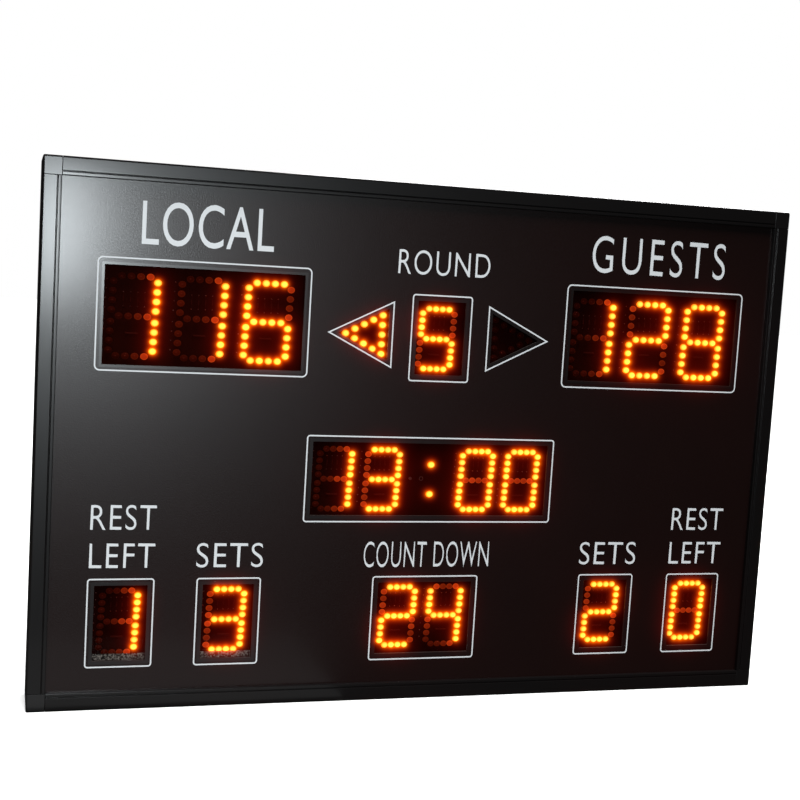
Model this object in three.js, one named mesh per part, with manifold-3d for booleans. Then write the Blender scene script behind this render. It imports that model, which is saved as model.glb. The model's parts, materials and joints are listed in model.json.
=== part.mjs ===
// Electronic scoreboard for a sports hall, in millimetres.
// +Z is up and the front looks along -Y.
// X = 0 is the middle and Z = 0 is the underside of the bottom rail.
// Inside the group, Y is the depth behind the rails' front faces.
// The group then centres that depth on Y = 0.
import * as THREE from 'three';
import { mergeVertices } from 'three/addons/utils/BufferGeometryUtils.js';
import Module from 'manifold-3d';

const wasm = await Module();
wasm.setup();

// Board
const boardWidth = 1200;
const boardHeight = 800;
const clearance = 0.3;
const overrun = 1;

// Rail section, from the outer edge inwards and from the front face backwards
const railFace = 27;
const railRounding = 3;
const railWall = 2.5;
const railNoseThickness = 2.8;
const railFlange = 18;
const grooveWidth = 2.5;
const grooveDepth = 2.5;
const lipWidth = 4.5;
const lipDepth = 6;
const panelTuck = 4;
const roundingSteps = 6;
const cornerRadius = 3;

// Front panel, windows and boards of lights
const panelThickness = 3;
const lensThickness = 2.5;
const lensMargin = 10;
const lightGap = 4.4;
const lightLength = 8.8;
const circuitThickness = 1.6;
const spacerSize = 6;
const lightSides = 5;

// Layout of the windows, seen from the front
const layoutShift = 4.4;
const sideMargin = 58.3;
const topMargin = 119.2;
const bottomMargin = 42.65;
const scoreHeight = 145;
const scoreGap = 51.7;
const figureWidth = 82;
const figureHeight = 117.5;
const periodDrop = 13.9;
const timeoutInset = 0.5;
const foulPitch = 160.2;
const shotWidth = 158.5;
const clockWidth = 391;
const clockDrop = 0.7;
const arrowBaseReach = 83.4;
const arrowLength = 82.6;
const arrowHalfHeight = 40.9;
const arrowDrop = 11.1;

// Figures made of lights: across, shares of the distance between a figure's two columns,
// and upwards, shares of the window's height
const digitLeanDegrees = 2.5;
const barLights = 4;
const scoreCount = 3;
const clockCount = 4;
const shotCount = 2;
const largeDigit = {
  lightRadius: 4.75,
  columnMargin: 17,
  advanceShare: 1.555,
  acrossShare: 0.2156,
  pointShare: 0.6875,
  pitchShare: 0.0952,
  middleShare: 0.1172,
  rowShare: 0.3986,
};
const smallDigit = {
  lightRadius: 4,
  columnMargin: 15.1,
  advanceShare: 1.518,
  acrossShare: 0.2118,
  pitchShare: 0.0919,
  middleShare: 0.114,
  rowShare: 0.3949,
};
const colonGapShare = 1.541;
const colonRiseShare = 0.1983;
const scoreShift = -4.4;
const periodShift = -2;
const arrowLightRadius = 4;
const arrowDiagonalLights = 5;
const arrowStartShare = 0.157;
const arrowPitchShare = 0.1755;
const arrowRiseShare = 0.181;

// Rear sheet
const sheetThickness = 1.5;
const sheetInset = 2;
const screwHeadRadius = 3.5;
const screwHeadHeight = 2;
const screwInset = 9;
const screwSides = 6;
const screwColumns = 6;
const screwRows = 4;
const slotWidth = 5;
const slotLength = 42;
const slotPitch = 16;
const slotCount = 12;
const upperSlotsDrop = 145;
const lowerSlotsLevel = 110;
const lowerSlotsReach = 200;

// Service door, seen in front view: its hinge is on the left
const hatchBottom = 222;
const hatchInset = 22;
const doorOverlap = 12;
const doorThickness = 1.5;
const hingeLength = 180;
const hingeKnuckles = 5;
const knuckleRadius = 3.4;
const hingePinRadius = 1.5;
const hingePinHeadRadius = 2.6;
const hingePinHeadLength = 1.2;
const hingeLeafWidth = 22;
const hingeLeafThickness = 1.2;
const hingeEdgeGap = 1;
const knuckleSides = 12;
const doorSlotCount = 6;
const doorSlotLength = 34;
const latchRise = 78;
const latchInset = 9;
const latchHeadRadius = 9;
const latchHeadHeight = 5;
const latchShaftRadius = 4;
const latchSlotWidth = 2;
const latchSlotDepth = 2;
const camLength = 27;
const camWidth = 13;
const camThickness = 2;
const latchSides = 16;

// Cross rails and what they carry
const crossRailHeight = 40;
const crossRailDepth = 16;
const crossRailWall = 2;
const crossRailInset = 8;
const crossRailGap = 1;
const moduleInset = 20;
const moduleHeight = 216;
const moduleRearGap = 10.7;
const supplyWidth = 115;
const supplyDepth = 24;
const supplyWall = 2;
const terminalHeight = 22;
const terminalStepDepth = 9;
const terminalScrewRadius = 3;
const terminalScrewHeight = 1.5;
const terminalCount = 7;
const controlGap = 35;
const controlWidth = 180;
const controlSpacer = 6;
const spacerInset = 9;
const receiverGap = 20;
const receiverWidth = 70;
const receiverHeight = 52;
const receiverDepth = 18;
const receiverRise = 170;
const hornShift = 10;
const hornRise = 58;
const hornRadius = 30;
const hornDepth = 22;
const hornMouthRadius = 22;
const hornMouthDepth = 6;
const hornFlangeWidth = 72;
const hornFlangeHeight = 84;
const hornFlangeThickness = 2;
const hornSides = 24;

// Mains inlet with its fuse drawer
const inletCentre = -300;
const inletLevel = 112;
const inletWidth = 28;
const inletHeight = 47;
const inletRim = 4;
const inletRimThickness = 2;
const inletBodyDepth = 27;
const socketWidth = 24;
const socketHeight = 16.4;
const socketChamfer = 4.5;
const socketDepth = 17;
const socketRise = 9.5;
const contactWidth = 2;
const contactHeight = 4;
const contactLength = 12;
const contactReach = 7;
const contactRise = 1.6;
const drawerWidth = 21;
const drawerHeight = 11;
const drawerDepth = 19;
const drawerDrop = 13;
const drawerLip = 2;
const drawerLipMargin = 1.2;

// Mains switch
const switchPitch = 55;
const switchWidth = 21.6;
const switchHeight = 27.6;
const switchRim = 3;
const switchRimThickness = 2;
const switchBodyDepth = 20;
const switchWall = 1.85;
const switchEndWall = 2;
const rockerEndGap = 0.5;
const rockerRise = 3.6;
const rockerDip = 1.4;
const rockerBelow = 5;
const rockerPivotDepth = 3;
const rockerTiltDegrees = 8;
const rockerPinRadius = 1.4;
const rockerPinLength = 0.9;
const pocketMargin = 2.2;
const rockerPinSides = 12;

// Aerial
const aerialInset = 270;
const aerialRise = 122;
const collarRadius = 3.2;
const collarInside = 6;
const nutRadius = 6.5;
const nutThickness = 3;
const nutSides = 6;
const collarOutside = 4.9;
const knuckleBodyRadius = 5.5;
const knuckleBodyDepth = 2.7;
const tongueGap = 0.4;
const earRadius = 4;
const earThickness = 2.6;
const aerialPinRadius = 1.1;
const whipRadius = 4.5;
const whipTipRadius = 3.2;
const whipLength = 110;
const whipStart = 7;
const aerialSides = 12;

// Hangers
const hangerInset = 145;
const hangerRise = 17.9;
const hangerWidth = 60;
const hangerFoot = 15;
const hangerSheet = 2;
const hangerHeight = 70;
const hangerDrop = 25;
const keyholeRadius = 7;
const keyholeSlotWidth = 7;
const keyholeSlotLength = 18;
const keyholeSides = 20;

// Wiring
const ribbonWidth = 12;
const ribbonThickness = 1.5;
const ribbonGap = 4.6;
const plugWidth = 18;
const plugHeight = 10;
const trunkX = 34;
const branchDrop = 12;
const leadSides = 8;
const leadSteps = 24;
const mainsLeadRadius = 3;
const lowVoltageLeadRadius = 3.5;
const thinLeadRadius = 1.6;
const leadBend = 12;
const thinLeadBend = 6;
const mainsLeadGap = 3;
const mainsLeadDrop = 34;
const lowVoltageRise = 24;

// Places worked out from the sizes above: across and upwards
const halfWidth = boardWidth / 2;
const windowReach = halfWidth - railFace - sideMargin;
const arrowTipReach = arrowBaseReach + arrowLength;
const scoreWidth = windowReach - arrowTipReach - scoreGap;
const scoreReach = windowReach - scoreWidth / 2;
const timeoutReach = windowReach - timeoutInset - figureWidth / 2;
const foulReach = timeoutReach - foulPitch;
const scoreLevel = boardHeight - railFace - topMargin - scoreHeight / 2;
const lowerLevel = railFace + bottomMargin + figureHeight / 2;
const periodLevel = scoreLevel - periodDrop;
const arrowLevel = scoreLevel - arrowDrop;
const lowerWindowTop = lowerLevel + figureHeight / 2;
const scoreWindowBottom = scoreLevel - scoreHeight / 2;
const clockLevel = (lowerWindowTop + scoreWindowBottom) / 2 - clockDrop;
const moduleRow = supplyWidth + controlGap + controlWidth + receiverGap + receiverWidth;
const hatchWidth = moduleRow + 2 * hatchInset;
const hatchLeft = -hatchWidth / 2;
const moduleBottom = hatchBottom + moduleInset;
const moduleTop = moduleBottom + moduleHeight;
const hatchTop = moduleTop + moduleInset;
const hatchLevel = (hatchBottom + hatchTop) / 2;
const lowerCrossRail = moduleBottom + crossRailInset;
const upperCrossRail = moduleTop - crossRailInset;
const supplyLeft = hatchLeft + hatchInset;
const controlLeft = supplyLeft + supplyWidth + controlGap;
const receiverLeft = controlLeft + controlWidth + receiverGap;
const receiverBottom = moduleBottom + receiverRise;
const hornCentre = receiverLeft + receiverWidth / 2 - hornShift;
const hornLevel = moduleBottom + hornRise;
const doorRight = hatchLeft + hatchWidth + doorOverlap;
const hingeAxisX = hatchLeft - doorOverlap - knuckleRadius - hingeEdgeGap;
const switchCentre = inletCentre + switchPitch;
const rockerWidth = switchWidth - 2 * switchWall;
const rockerHeight = switchHeight - 2 * switchEndWall;
const aerialX = halfWidth - aerialInset;
const aerialLevel = hatchTop + aerialRise;
const hangerReach = halfWidth - hangerInset;
const hangerBottom = boardHeight - hangerDrop - hangerHeight;

// Depths, from the rails' front faces backwards
const panelFront = lipDepth + clearance;
const panelBack = panelFront + panelThickness;
const slotEnd = panelBack + clearance;
const lensFront = panelBack + clearance;
const lensBack = lensFront + lensThickness;
const railNose = slotEnd + railNoseThickness;
const lightTipDepth = lensBack + lightGap;
const circuitDepth = lightTipDepth + lightLength;
const circuitBack = circuitDepth + circuitThickness;
const ribbonDepth = circuitBack + ribbonGap;
const ribbonBack = ribbonDepth + ribbonThickness;
const crossRailFront = ribbonBack + crossRailGap;
const crossRailBack = crossRailFront + crossRailDepth;
const moduleFront = crossRailBack + clearance;
const railDepth = moduleFront + supplyDepth + moduleRearGap;
const sheetFront = railDepth + clearance;
const sheetBack = sheetFront + sheetThickness;
const fittingFront = sheetBack + clearance;
const doorBack = fittingFront + doorThickness;
const hingeAxisDepth = fittingFront + knuckleRadius + clearance;
const mainsLeadDepth = ribbonBack + mainsLeadGap + mainsLeadRadius;
const aerialStandoff = fittingFront + collarOutside;
const knuckleBack = aerialStandoff + clearance + knuckleBodyDepth;
const tongueRadius = earRadius - 2 * clearance;
const aerialPivotDepth = knuckleBack + tongueGap + tongueRadius;
const overallDepth = fittingFront + hangerRise;

// Finishes
const finish = (color, roughness, metalness, extra = {}) => new THREE.MeshStandardMaterial({
  color,
  roughness,
  metalness,
  flatShading: true,
  ...extra,
});
const blackFrame = finish(0x141112, 0.45, 0.3);
const blackCap = finish(0x0f0d0e, 0.4, 0.0);
const blackPanel = finish(0x1b1617, 0.5, 0.1);
const redTint = finish(0x2a0303, 0.12, 0.0, { transparent: true, opacity: 0.45 });
const lightBoard = finish(0x3a0c08, 0.6, 0.0);
const rearSheetFinish = finish(0x1a1a1b, 0.55, 0.2);
const galvanised = finish(0xa7abad, 0.4, 0.9);
const brightSteel = finish(0xc2c4c6, 0.3, 1.0);
const circuitGreen = finish(0x14532d, 0.5, 0.0);
const blackPlastic = finish(0x121213, 0.5, 0.0);
const blackLead = finish(0x161616, 0.7, 0.0);
const greyRibbon = finish(0x8b8f93, 0.7, 0.0);
const brass = finish(0xb08d3c, 0.35, 1.0);

// Solids: three.js geometries are joined and cut as closed meshes
function weld(geometry) {
  const bare = geometry.clone();
  bare.deleteAttribute('normal');
  bare.deleteAttribute('uv');
  return mergeVertices(bare);
}

function solid(geometry) {
  const closed = weld(geometry);
  return new wasm.Manifold(new wasm.Mesh({
    numProp: 3,
    vertProperties: new Float32Array(closed.attributes.position.array),
    triVerts: new Uint32Array(closed.index.array),
  }));
}

function meshGeometry(manifold) {
  const { vertProperties, triVerts } = manifold.getMesh();
  const geometry = new THREE.BufferGeometry();
  geometry.setAttribute('position', new THREE.BufferAttribute(new Float32Array(vertProperties), 3));
  geometry.setIndex(new THREE.BufferAttribute(new Uint32Array(triVerts), 1));
  return geometry;
}

const joined = (...geometries) => wasm.Manifold.union(geometries.flat().map(solid));
const cut = (body, ...geometries) => {
  const cutters = geometries.flat();
  return cutters.length ? body.subtract(joined(cutters)) : body;
};

// Forms
function block(x0, x1, y0, y1, z0, z1) {
  const box = new THREE.BoxGeometry(x1 - x0, y1 - y0, z1 - z0);
  return box.translate((x0 + x1) / 2, (y0 + y1) / 2, (z0 + z1) / 2);
}

// A plate whose outline is drawn in front view, with X to the right and Z up
function plate(shape, front, thickness) {
  const geometry = new THREE.ExtrudeGeometry(shape, { depth: thickness, bevelEnabled: false });
  return geometry.rotateX(Math.PI / 2).translate(0, front + thickness, 0);
}

// A plate cut through by the outlines of its openings
function piercedPlate(shape, openings, front, thickness) {
  const cutters = openings.map((opening) => plate(opening, front - overrun, thickness + 2 * overrun));
  return cut(solid(plate(shape, front, thickness)), cutters);
}

// A bar along X whose section is drawn with Y to the right and Z up
function barAlongX(section, left, length) {
  const geometry = new THREE.ExtrudeGeometry(section, { depth: length, bevelEnabled: false });
  const turn = new THREE.Matrix4().makeBasis(
    new THREE.Vector3(0, 1, 0),
    new THREE.Vector3(0, 0, 1),
    new THREE.Vector3(1, 0, 0),
  );
  return geometry.applyMatrix4(turn).translate(left, 0, 0);
}

// A bar along Z whose section is drawn with X to the right and Y up
function barAlongZ(section, bottom, length) {
  const geometry = new THREE.ExtrudeGeometry(section, { depth: length, bevelEnabled: false });
  return geometry.translate(0, 0, bottom);
}

function rodAlongY(x, z, front, length, radius, sides, rearRadius = radius) {
  const rod = new THREE.CylinderGeometry(rearRadius, radius, length, sides);
  return rod.translate(x, front + length / 2, z);
}

function rodAlongX(y, z, left, length, radius, sides) {
  const rod = new THREE.CylinderGeometry(radius, radius, length, sides);
  return rod.rotateZ(-Math.PI / 2).translate(left + length / 2, y, z);
}

function rodAlongZ(x, y, bottom, length, radius, sides, topRadius = radius) {
  const rod = new THREE.CylinderGeometry(topRadius, radius, length, sides);
  return rod.rotateX(Math.PI / 2).translate(x, y, bottom + length / 2);
}

function outline(points) {
  return new THREE.Shape(points.map(([x, y]) => new THREE.Vector2(x, y)));
}

function rectangle(x0, x1, y0, y1) {
  return outline([[x0, y0], [x1, y0], [x1, y1], [x0, y1]]);
}

// Assembly
const scoreboard = new THREE.Group();
scoreboard.position.y = -overallDepth / 2;

function addPart(name, geometry, material) {
  const mesh = new THREE.Mesh(geometry, material);
  mesh.name = name;
  scoreboard.add(mesh);
  return mesh;
}

const addSolid = (name, manifold, material) => addPart(name, meshGeometry(manifold), material);

// Rails: one section, drawn with X inwards and Y backwards
function outerSection() {
  const section = new THREE.Shape();
  section.moveTo(0, railRounding);
  section.absarc(railRounding, railRounding, railRounding, Math.PI, Math.PI * 1.5, false);
  section.lineTo(railFace, 0);
  section.lineTo(railFace, railDepth);
  section.lineTo(0, railDepth);
  section.closePath();
  return section;
}

const slotStart = railFace - panelTuck;
const grooveEnd = railFace - lipWidth;
const grooveStart = grooveEnd - grooveWidth;

function railSection() {
  const section = new THREE.Shape();
  section.moveTo(0, railRounding);
  section.absarc(railRounding, railRounding, railRounding, Math.PI, Math.PI * 1.5, false);
  const rest = [
    [grooveStart, 0],
    [grooveStart, grooveDepth],
    [grooveEnd, grooveDepth],
    [grooveEnd, 0],
    [railFace, 0],
    [railFace, lipDepth],
    [slotStart, lipDepth],
    [slotStart, slotEnd],
    [railFace, slotEnd],
    [railFace, railNose],
    [railWall, railNose],
    [railWall, railDepth - railWall],
    [railFlange, railDepth - railWall],
    [railFlange, railDepth],
    [0, railDepth],
  ];
  rest.forEach(([x, y]) => section.lineTo(x, y));
  section.closePath();
  return section;
}

function addRail(name, length, inward, along, corner) {
  const geometry = new THREE.ExtrudeGeometry(railSection(), {
    depth: length,
    bevelEnabled: false,
    curveSegments: roundingSteps,
  });
  const rail = addPart(name, geometry, blackFrame);
  const basis = new THREE.Matrix4().makeBasis(inward, new THREE.Vector3(0, 1, 0), along);
  rail.quaternion.setFromRotationMatrix(basis);
  rail.position.copy(corner);
}

function addRails() {
  const start = railFace + clearance;
  const across = boardWidth - 2 * start;
  const upright = boardHeight - 2 * start;
  const left = new THREE.Vector3(-1, 0, 0);
  const right = new THREE.Vector3(1, 0, 0);
  const up = new THREE.Vector3(0, 0, 1);
  const down = new THREE.Vector3(0, 0, -1);
  addRail('top_rail', across, down, right, new THREE.Vector3(start - halfWidth, 0, boardHeight));
  addRail('bottom_rail', across, up, left, new THREE.Vector3(halfWidth - start, 0, 0));
  addRail('left_rail', upright, right, up, new THREE.Vector3(-halfWidth, 0, start));
  addRail('right_rail', upright, left, down, new THREE.Vector3(halfWidth, 0, boardHeight - start));
}

// Corner caps: one cap, drawn for the lower left corner, is turned into the four corners
function cornerCap() {
  const depthSteps = { bevelEnabled: false, curveSegments: roundingSteps, depth: railFace };
  const upright = new THREE.ExtrudeGeometry(outerSection(), depthSteps);
  const flat = new THREE.ExtrudeGeometry(outerSection(), depthSteps);
  flat.applyMatrix4(new THREE.Matrix4().makeBasis(
    new THREE.Vector3(0, 0, 1),
    new THREE.Vector3(0, 1, 0),
    new THREE.Vector3(-1, 0, 0),
  )).translate(railFace, 0, 0);
  const face = new THREE.Shape();
  face.moveTo(railFace, 0);
  face.lineTo(railFace, railFace);
  face.lineTo(0, railFace);
  face.lineTo(0, cornerRadius);
  face.absarc(cornerRadius, cornerRadius, cornerRadius, Math.PI, Math.PI * 1.5, false);
  face.closePath();
  const far = railFace + overrun;
  const body = solid(upright).intersect(solid(flat)).intersect(solid(plate(face, 0, railDepth)));
  const panelSlot = block(slotStart, far, lipDepth, slotEnd, slotStart, far);
  const hollow = block(railWall, far, railNose, railDepth - railWall, railWall, far);
  const rearNotch = block(railFlange, far, railNose, railDepth + overrun, railFlange, far);
  return cut(body, panelSlot, hollow, rearNotch);
}

function addCornerCaps() {
  const cap = meshGeometry(cornerCap());
  const corners = [
    ['lower_left_cap', 0, -halfWidth, 0],
    ['upper_left_cap', 1, -halfWidth, boardHeight],
    ['upper_right_cap', 2, halfWidth, boardHeight],
    ['lower_right_cap', 3, halfWidth, 0],
  ];
  corners.forEach(([name, quarterTurns, x, z]) => {
    const mesh = addPart(name, cap, blackCap);
    mesh.rotation.y = quarterTurns * Math.PI / 2;
    mesh.position.set(x, 0, z);
  });
}

// Windows: each has its opening in the panel, a tinted window behind it and a board of lights
const largeWindow = {
  width: scoreWidth,
  height: scoreHeight,
  level: scoreLevel,
  shift: scoreShift,
  digit: largeDigit,
  count: scoreCount,
};
const smallWindow = { height: figureHeight, digit: smallDigit, count: 1, shift: 0 };
const figureWindow = { ...smallWindow, width: figureWidth };
const lowerWindow = { ...figureWindow, level: lowerLevel };
const clockWindow = { ...smallWindow, width: clockWidth, count: clockCount, colon: true };

const figureWindows = [
  { ...largeWindow, name: 'left_score', x: -scoreReach },
  { ...largeWindow, name: 'right_score', x: scoreReach },
  { ...figureWindow, name: 'period', x: 0, level: periodLevel, shift: periodShift },
  { ...clockWindow, name: 'clock', x: 0, level: clockLevel },
  { ...lowerWindow, name: 'left_timeout', x: -timeoutReach },
  { ...lowerWindow, name: 'left_foul', x: -foulReach },
  { ...lowerWindow, name: 'shot_clock', x: 0, width: shotWidth, count: shotCount },
  { ...lowerWindow, name: 'right_foul', x: foulReach },
  { ...lowerWindow, name: 'right_timeout', x: timeoutReach },
];
const arrowWindows = [
  { name: 'left_arrow', side: -1 },
  { name: 'right_arrow', side: 1 },
];

function arrowOutline(side) {
  const base = layoutShift + side * arrowBaseReach;
  const tip = layoutShift + side * arrowTipReach;
  const upper = arrowLevel + side * arrowHalfHeight;
  const lower = arrowLevel - side * arrowHalfHeight;
  return [[base, lower], [tip, arrowLevel], [base, upper]];
}

function windowBox({ x, level, width, height }, margin) {
  const middle = layoutShift + x;
  return [
    middle - width / 2 - margin,
    middle + width / 2 + margin,
    level - height / 2 - margin,
    level + height / 2 + margin,
  ];
}

function arrowBox({ side }, margin) {
  const reaches = [arrowBaseReach, arrowTipReach].map((reach) => layoutShift + side * reach);
  return [
    Math.min(...reaches) - margin,
    Math.max(...reaches) + margin,
    arrowLevel - arrowHalfHeight - margin,
    arrowLevel + arrowHalfHeight + margin,
  ];
}

function addFrontPanel() {
  const edge = slotStart + clearance;
  const sheet = rectangle(edge - halfWidth, halfWidth - edge, edge, boardHeight - edge);
  const openings = [
    ...figureWindows.map((window) => rectangle(...windowBox(window, 0))),
    ...arrowWindows.map(({ side }) => outline(arrowOutline(side))),
  ];
  addSolid('front_panel', piercedPlate(sheet, openings, panelFront, panelThickness), blackPanel);
}

// One figure: seven bars of round lights, leaning to the right
function digitLights({ digit, height }, columnSpan) {
  const lean = Math.tan(THREE.MathUtils.degToRad(digitLeanDegrees));
  const rowRise = digit.rowShare * height;
  const places = [];
  for (let i = 0; i < barLights; i += 1) {
    const rise = (digit.middleShare / 2 + i * digit.pitchShare) * height;
    const across = (i - (barLights - 1) / 2) * digit.acrossShare * columnSpan;
    [-columnSpan / 2, columnSpan / 2].forEach((column) => places.push([column, rise], [column, -rise]));
    [-rowRise, 0, rowRise].forEach((row) => places.push([across, row]));
  }
  return places.map(([x, z]) => [x + z * lean, z]);
}

// The figures share the window's width, with a wider gap for a colon in the middle
function figurePlaces({ digit, count, colon }, columnSpan) {
  const advance = digit.advanceShare * columnSpan;
  const colonGap = colon ? colonGapShare * columnSpan : 0;
  return Array.from({ length: count }, (unused, i) => {
    const place = i - (count - 1) / 2;
    return place * advance + Math.sign(place) * colonGap / 2;
  });
}

function windowLights(window) {
  const { x, level, digit, shift, width, height, count, colon } = window;
  const middle = layoutShift + x + shift;
  const spanShares = 1 + (count - 1) * digit.advanceShare + (colon ? colonGapShare : 0);
  const columnSpan = (width - 2 * digit.columnMargin) / spanShares;
  const places = figurePlaces(window, columnSpan);
  const lights = places.flatMap((place) => digitLights(window, columnSpan).map(([dx, dz]) => [
    middle + place + dx,
    level + dz,
  ]));
  if (digit.pointShare) {
    const pointReach = digit.pointShare * columnSpan;
    const pointLevel = level - digit.rowShare * height;
    places.forEach((place) => lights.push([middle + place + pointReach, pointLevel]));
  }
  if (colon) {
    const colonRise = colonRiseShare * height;
    lights.push([middle, level + colonRise], [middle, level - colonRise]);
  }
  return lights;
}

function arrowLights({ side }) {
  const start = arrowTipReach - arrowStartShare * arrowLength;
  const pitch = arrowPitchShare * arrowLength;
  const rise = arrowRiseShare * arrowHalfHeight;
  const places = [];
  for (let i = 0; i < arrowDiagonalLights; i += 1) {
    const x = layoutShift + side * (start - i * pitch);
    const rises = i === 0 ? [0] : [i * rise, -i * rise];
    rises.forEach((dz) => places.push([x, arrowLevel + dz]));
  }
  const last = arrowDiagonalLights - 1;
  const columnX = layoutShift + side * (start - last * pitch);
  [-last / 2, 0, last / 2].forEach((steps) => places.push([columnX, arrowLevel + steps * rise]));
  return places;
}

function addWindow(name, box, lights, lightRadius) {
  const [x0, x1, z0, z1] = box;
  addPart(`${name}_lens`, block(x0, x1, lensFront, lensBack, z0, z1), redTint);
  const pieces = [block(x0, x1, circuitDepth, circuitBack, z0, z1)];
  const spacerFront = lensBack + clearance;
  [x0, x1 - spacerSize].forEach((x) => [z0, z1 - spacerSize].forEach((z) => {
    pieces.push(block(x, x + spacerSize, spacerFront, circuitDepth + overrun, z, z + spacerSize));
  }));
  lights.forEach(([x, z]) => {
    const length = circuitDepth + overrun - lightTipDepth;
    pieces.push(rodAlongY(x, z, lightTipDepth, length, lightRadius, lightSides));
  });
  addSolid(`${name}_lights`, joined(pieces), lightBoard);
}

function addWindows() {
  figureWindows.forEach((window) => {
    addWindow(window.name, windowBox(window, lensMargin), windowLights(window), window.digit.lightRadius);
  });
  arrowWindows.forEach((window) => {
    addWindow(window.name, arrowBox(window, lensMargin), arrowLights(window), arrowLightRadius);
  });
}

// Cross rails: channels that open to the front
function addCrossRail(name, level) {
  const bottom = level - crossRailHeight / 2;
  const top = level + crossRailHeight / 2;
  const section = outline([
    [crossRailFront, bottom],
    [crossRailBack, bottom],
    [crossRailBack, top],
    [crossRailFront, top],
    [crossRailFront, top - crossRailWall],
    [crossRailBack - crossRailWall, top - crossRailWall],
    [crossRailBack - crossRailWall, bottom + crossRailWall],
    [crossRailFront, bottom + crossRailWall],
  ]);
  const end = railWall + clearance;
  addPart(name, barAlongX(section, end - halfWidth, boardWidth - 2 * end), galvanised);
}

// Rear sheet: screw heads at its edge, air slots, and the openings for the door, inlet, switch and aerial
function slotRow(middle, level, count, length) {
  return Array.from({ length: count }, (unused, i) => {
    const x = middle + (i - (count - 1) / 2) * slotPitch;
    return rectangle(x - slotWidth / 2, x + slotWidth / 2, level - length / 2, level + length / 2);
  });
}

function screwPlaces() {
  const reach = halfWidth - screwInset;
  const top = boardHeight - screwInset;
  const places = [];
  for (let i = 0; i < screwColumns; i += 1) {
    const x = -reach + 2 * reach * i / (screwColumns - 1);
    places.push([x, screwInset], [x, top]);
  }
  for (let i = 1; i < screwRows - 1; i += 1) {
    const z = screwInset + (top - screwInset) * i / (screwRows - 1);
    places.push([-reach, z], [reach, z]);
  }
  return places;
}

function addRearSheet() {
  const reach = halfWidth - sheetInset;
  const sheet = rectangle(-reach, reach, sheetInset, boardHeight - sheetInset);
  const openings = [
    rectangle(hatchLeft, hatchLeft + hatchWidth, hatchBottom, hatchTop),
    ...slotRow(0, boardHeight - upperSlotsDrop, slotCount, slotLength),
    ...slotRow(lowerSlotsReach, lowerSlotsLevel, slotCount, slotLength),
    boxAround(inletCentre, inletLevel, inletWidth, inletHeight, clearance),
    boxAround(switchCentre, inletLevel, switchWidth, switchHeight, clearance),
  ];
  const body = piercedPlate(sheet, openings, sheetFront, sheetThickness);
  const aerialHole = rodAlongY(
    aerialX,
    aerialLevel,
    sheetFront - overrun,
    sheetThickness + 2 * overrun,
    collarRadius + clearance,
    aerialSides,
  );
  const heads = screwPlaces().map(([x, z]) => rodAlongY(
    x,
    z,
    sheetBack - sheetThickness / 2,
    sheetThickness / 2 + screwHeadHeight,
    screwHeadRadius,
    screwSides,
  ));
  addSolid('rear_sheet', cut(body, aerialHole).add(joined(heads)), rearSheetFinish);
}

function boxAround(x, z, width, height, margin) {
  const reach = width / 2 + margin;
  const rise = height / 2 + margin;
  return rectangle(x - reach, x + reach, z - rise, z + rise);
}

// Service door: hinge knuckles alternate between the fixed leaf and the door
function knuckles(first) {
  const share = hingeLength / hingeKnuckles;
  const bottom = hatchLevel - hingeLength / 2;
  const pieces = [];
  for (let i = first; i < hingeKnuckles; i += 2) {
    const start = bottom + i * share + clearance / 2;
    const length = share - clearance;
    pieces.push({ start, length });
  }
  return pieces;
}

function knuckleBarrels(first) {
  return knuckles(first).map(({ start, length }) => (
    rodAlongZ(hingeAxisX, hingeAxisDepth, start, length, knuckleRadius, knuckleSides)
  ));
}

function hingeBore() {
  const bottom = hatchLevel - hingeLength / 2 - overrun;
  const radius = hingePinRadius + clearance;
  return rodAlongZ(hingeAxisX, hingeAxisDepth, bottom, hingeLength + 2 * overrun, radius, knuckleSides);
}

function addHinge() {
  const near = hingeAxisX - knuckleRadius;
  const leafBack = fittingFront + hingeLeafThickness;
  const bottom = hatchLevel - hingeLength / 2;
  const leaf = block(
    near - hingeLeafWidth,
    near - hingeEdgeGap / 2,
    fittingFront,
    leafBack,
    bottom,
    bottom + hingeLength,
  );
  const tabs = knuckles(0).map(({ start, length }) => (
    block(near - hingeEdgeGap, hingeAxisX, fittingFront, leafBack, start, start + length)
  ));
  addSolid('door_hinge', cut(joined(leaf, tabs, knuckleBarrels(0)), hingeBore()), brightSteel);
  const pinBottom = bottom - clearance;
  const pinLength = hingeLength + 2 * clearance;
  const pin = joined(
    rodAlongZ(hingeAxisX, hingeAxisDepth, pinBottom, pinLength, hingePinRadius, knuckleSides),
    [pinBottom - hingePinHeadLength, bottom + hingeLength + clearance].map((start) => (
      rodAlongZ(hingeAxisX, hingeAxisDepth, start, hingePinHeadLength, hingePinHeadRadius, knuckleSides)
    )),
  );
  addSolid('door_hinge_pin', pin, brightSteel);
}

const latchX = doorRight - doorOverlap - latchInset - latchShaftRadius;

function addDoor() {
  const left = hatchLeft - doorOverlap;
  const bottom = hatchBottom - doorOverlap;
  const top = hatchTop + doorOverlap;
  const sheet = rectangle(left, doorRight, bottom, top);
  const slots = slotRow(hornCentre, hornLevel, doorSlotCount, doorSlotLength);
  const leafBack = fittingFront + doorThickness;
  const tabs = knuckles(1).map(({ start, length }) => (
    block(hingeAxisX, left + overrun, fittingFront, leafBack, start, start + length)
  ));
  const shaftHoles = [-latchRise, latchRise].map((rise) => rodAlongY(
    latchX,
    hatchLevel + rise,
    fittingFront - overrun,
    doorThickness + 2 * overrun,
    latchShaftRadius + clearance,
    latchSides,
  ));
  const plateBody = piercedPlate(sheet, slots, fittingFront, doorThickness);
  const body = plateBody.add(joined(tabs, knuckleBarrels(1)));
  addSolid('service_door', cut(body, hingeBore(), shaftHoles), rearSheetFinish);
}

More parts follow.
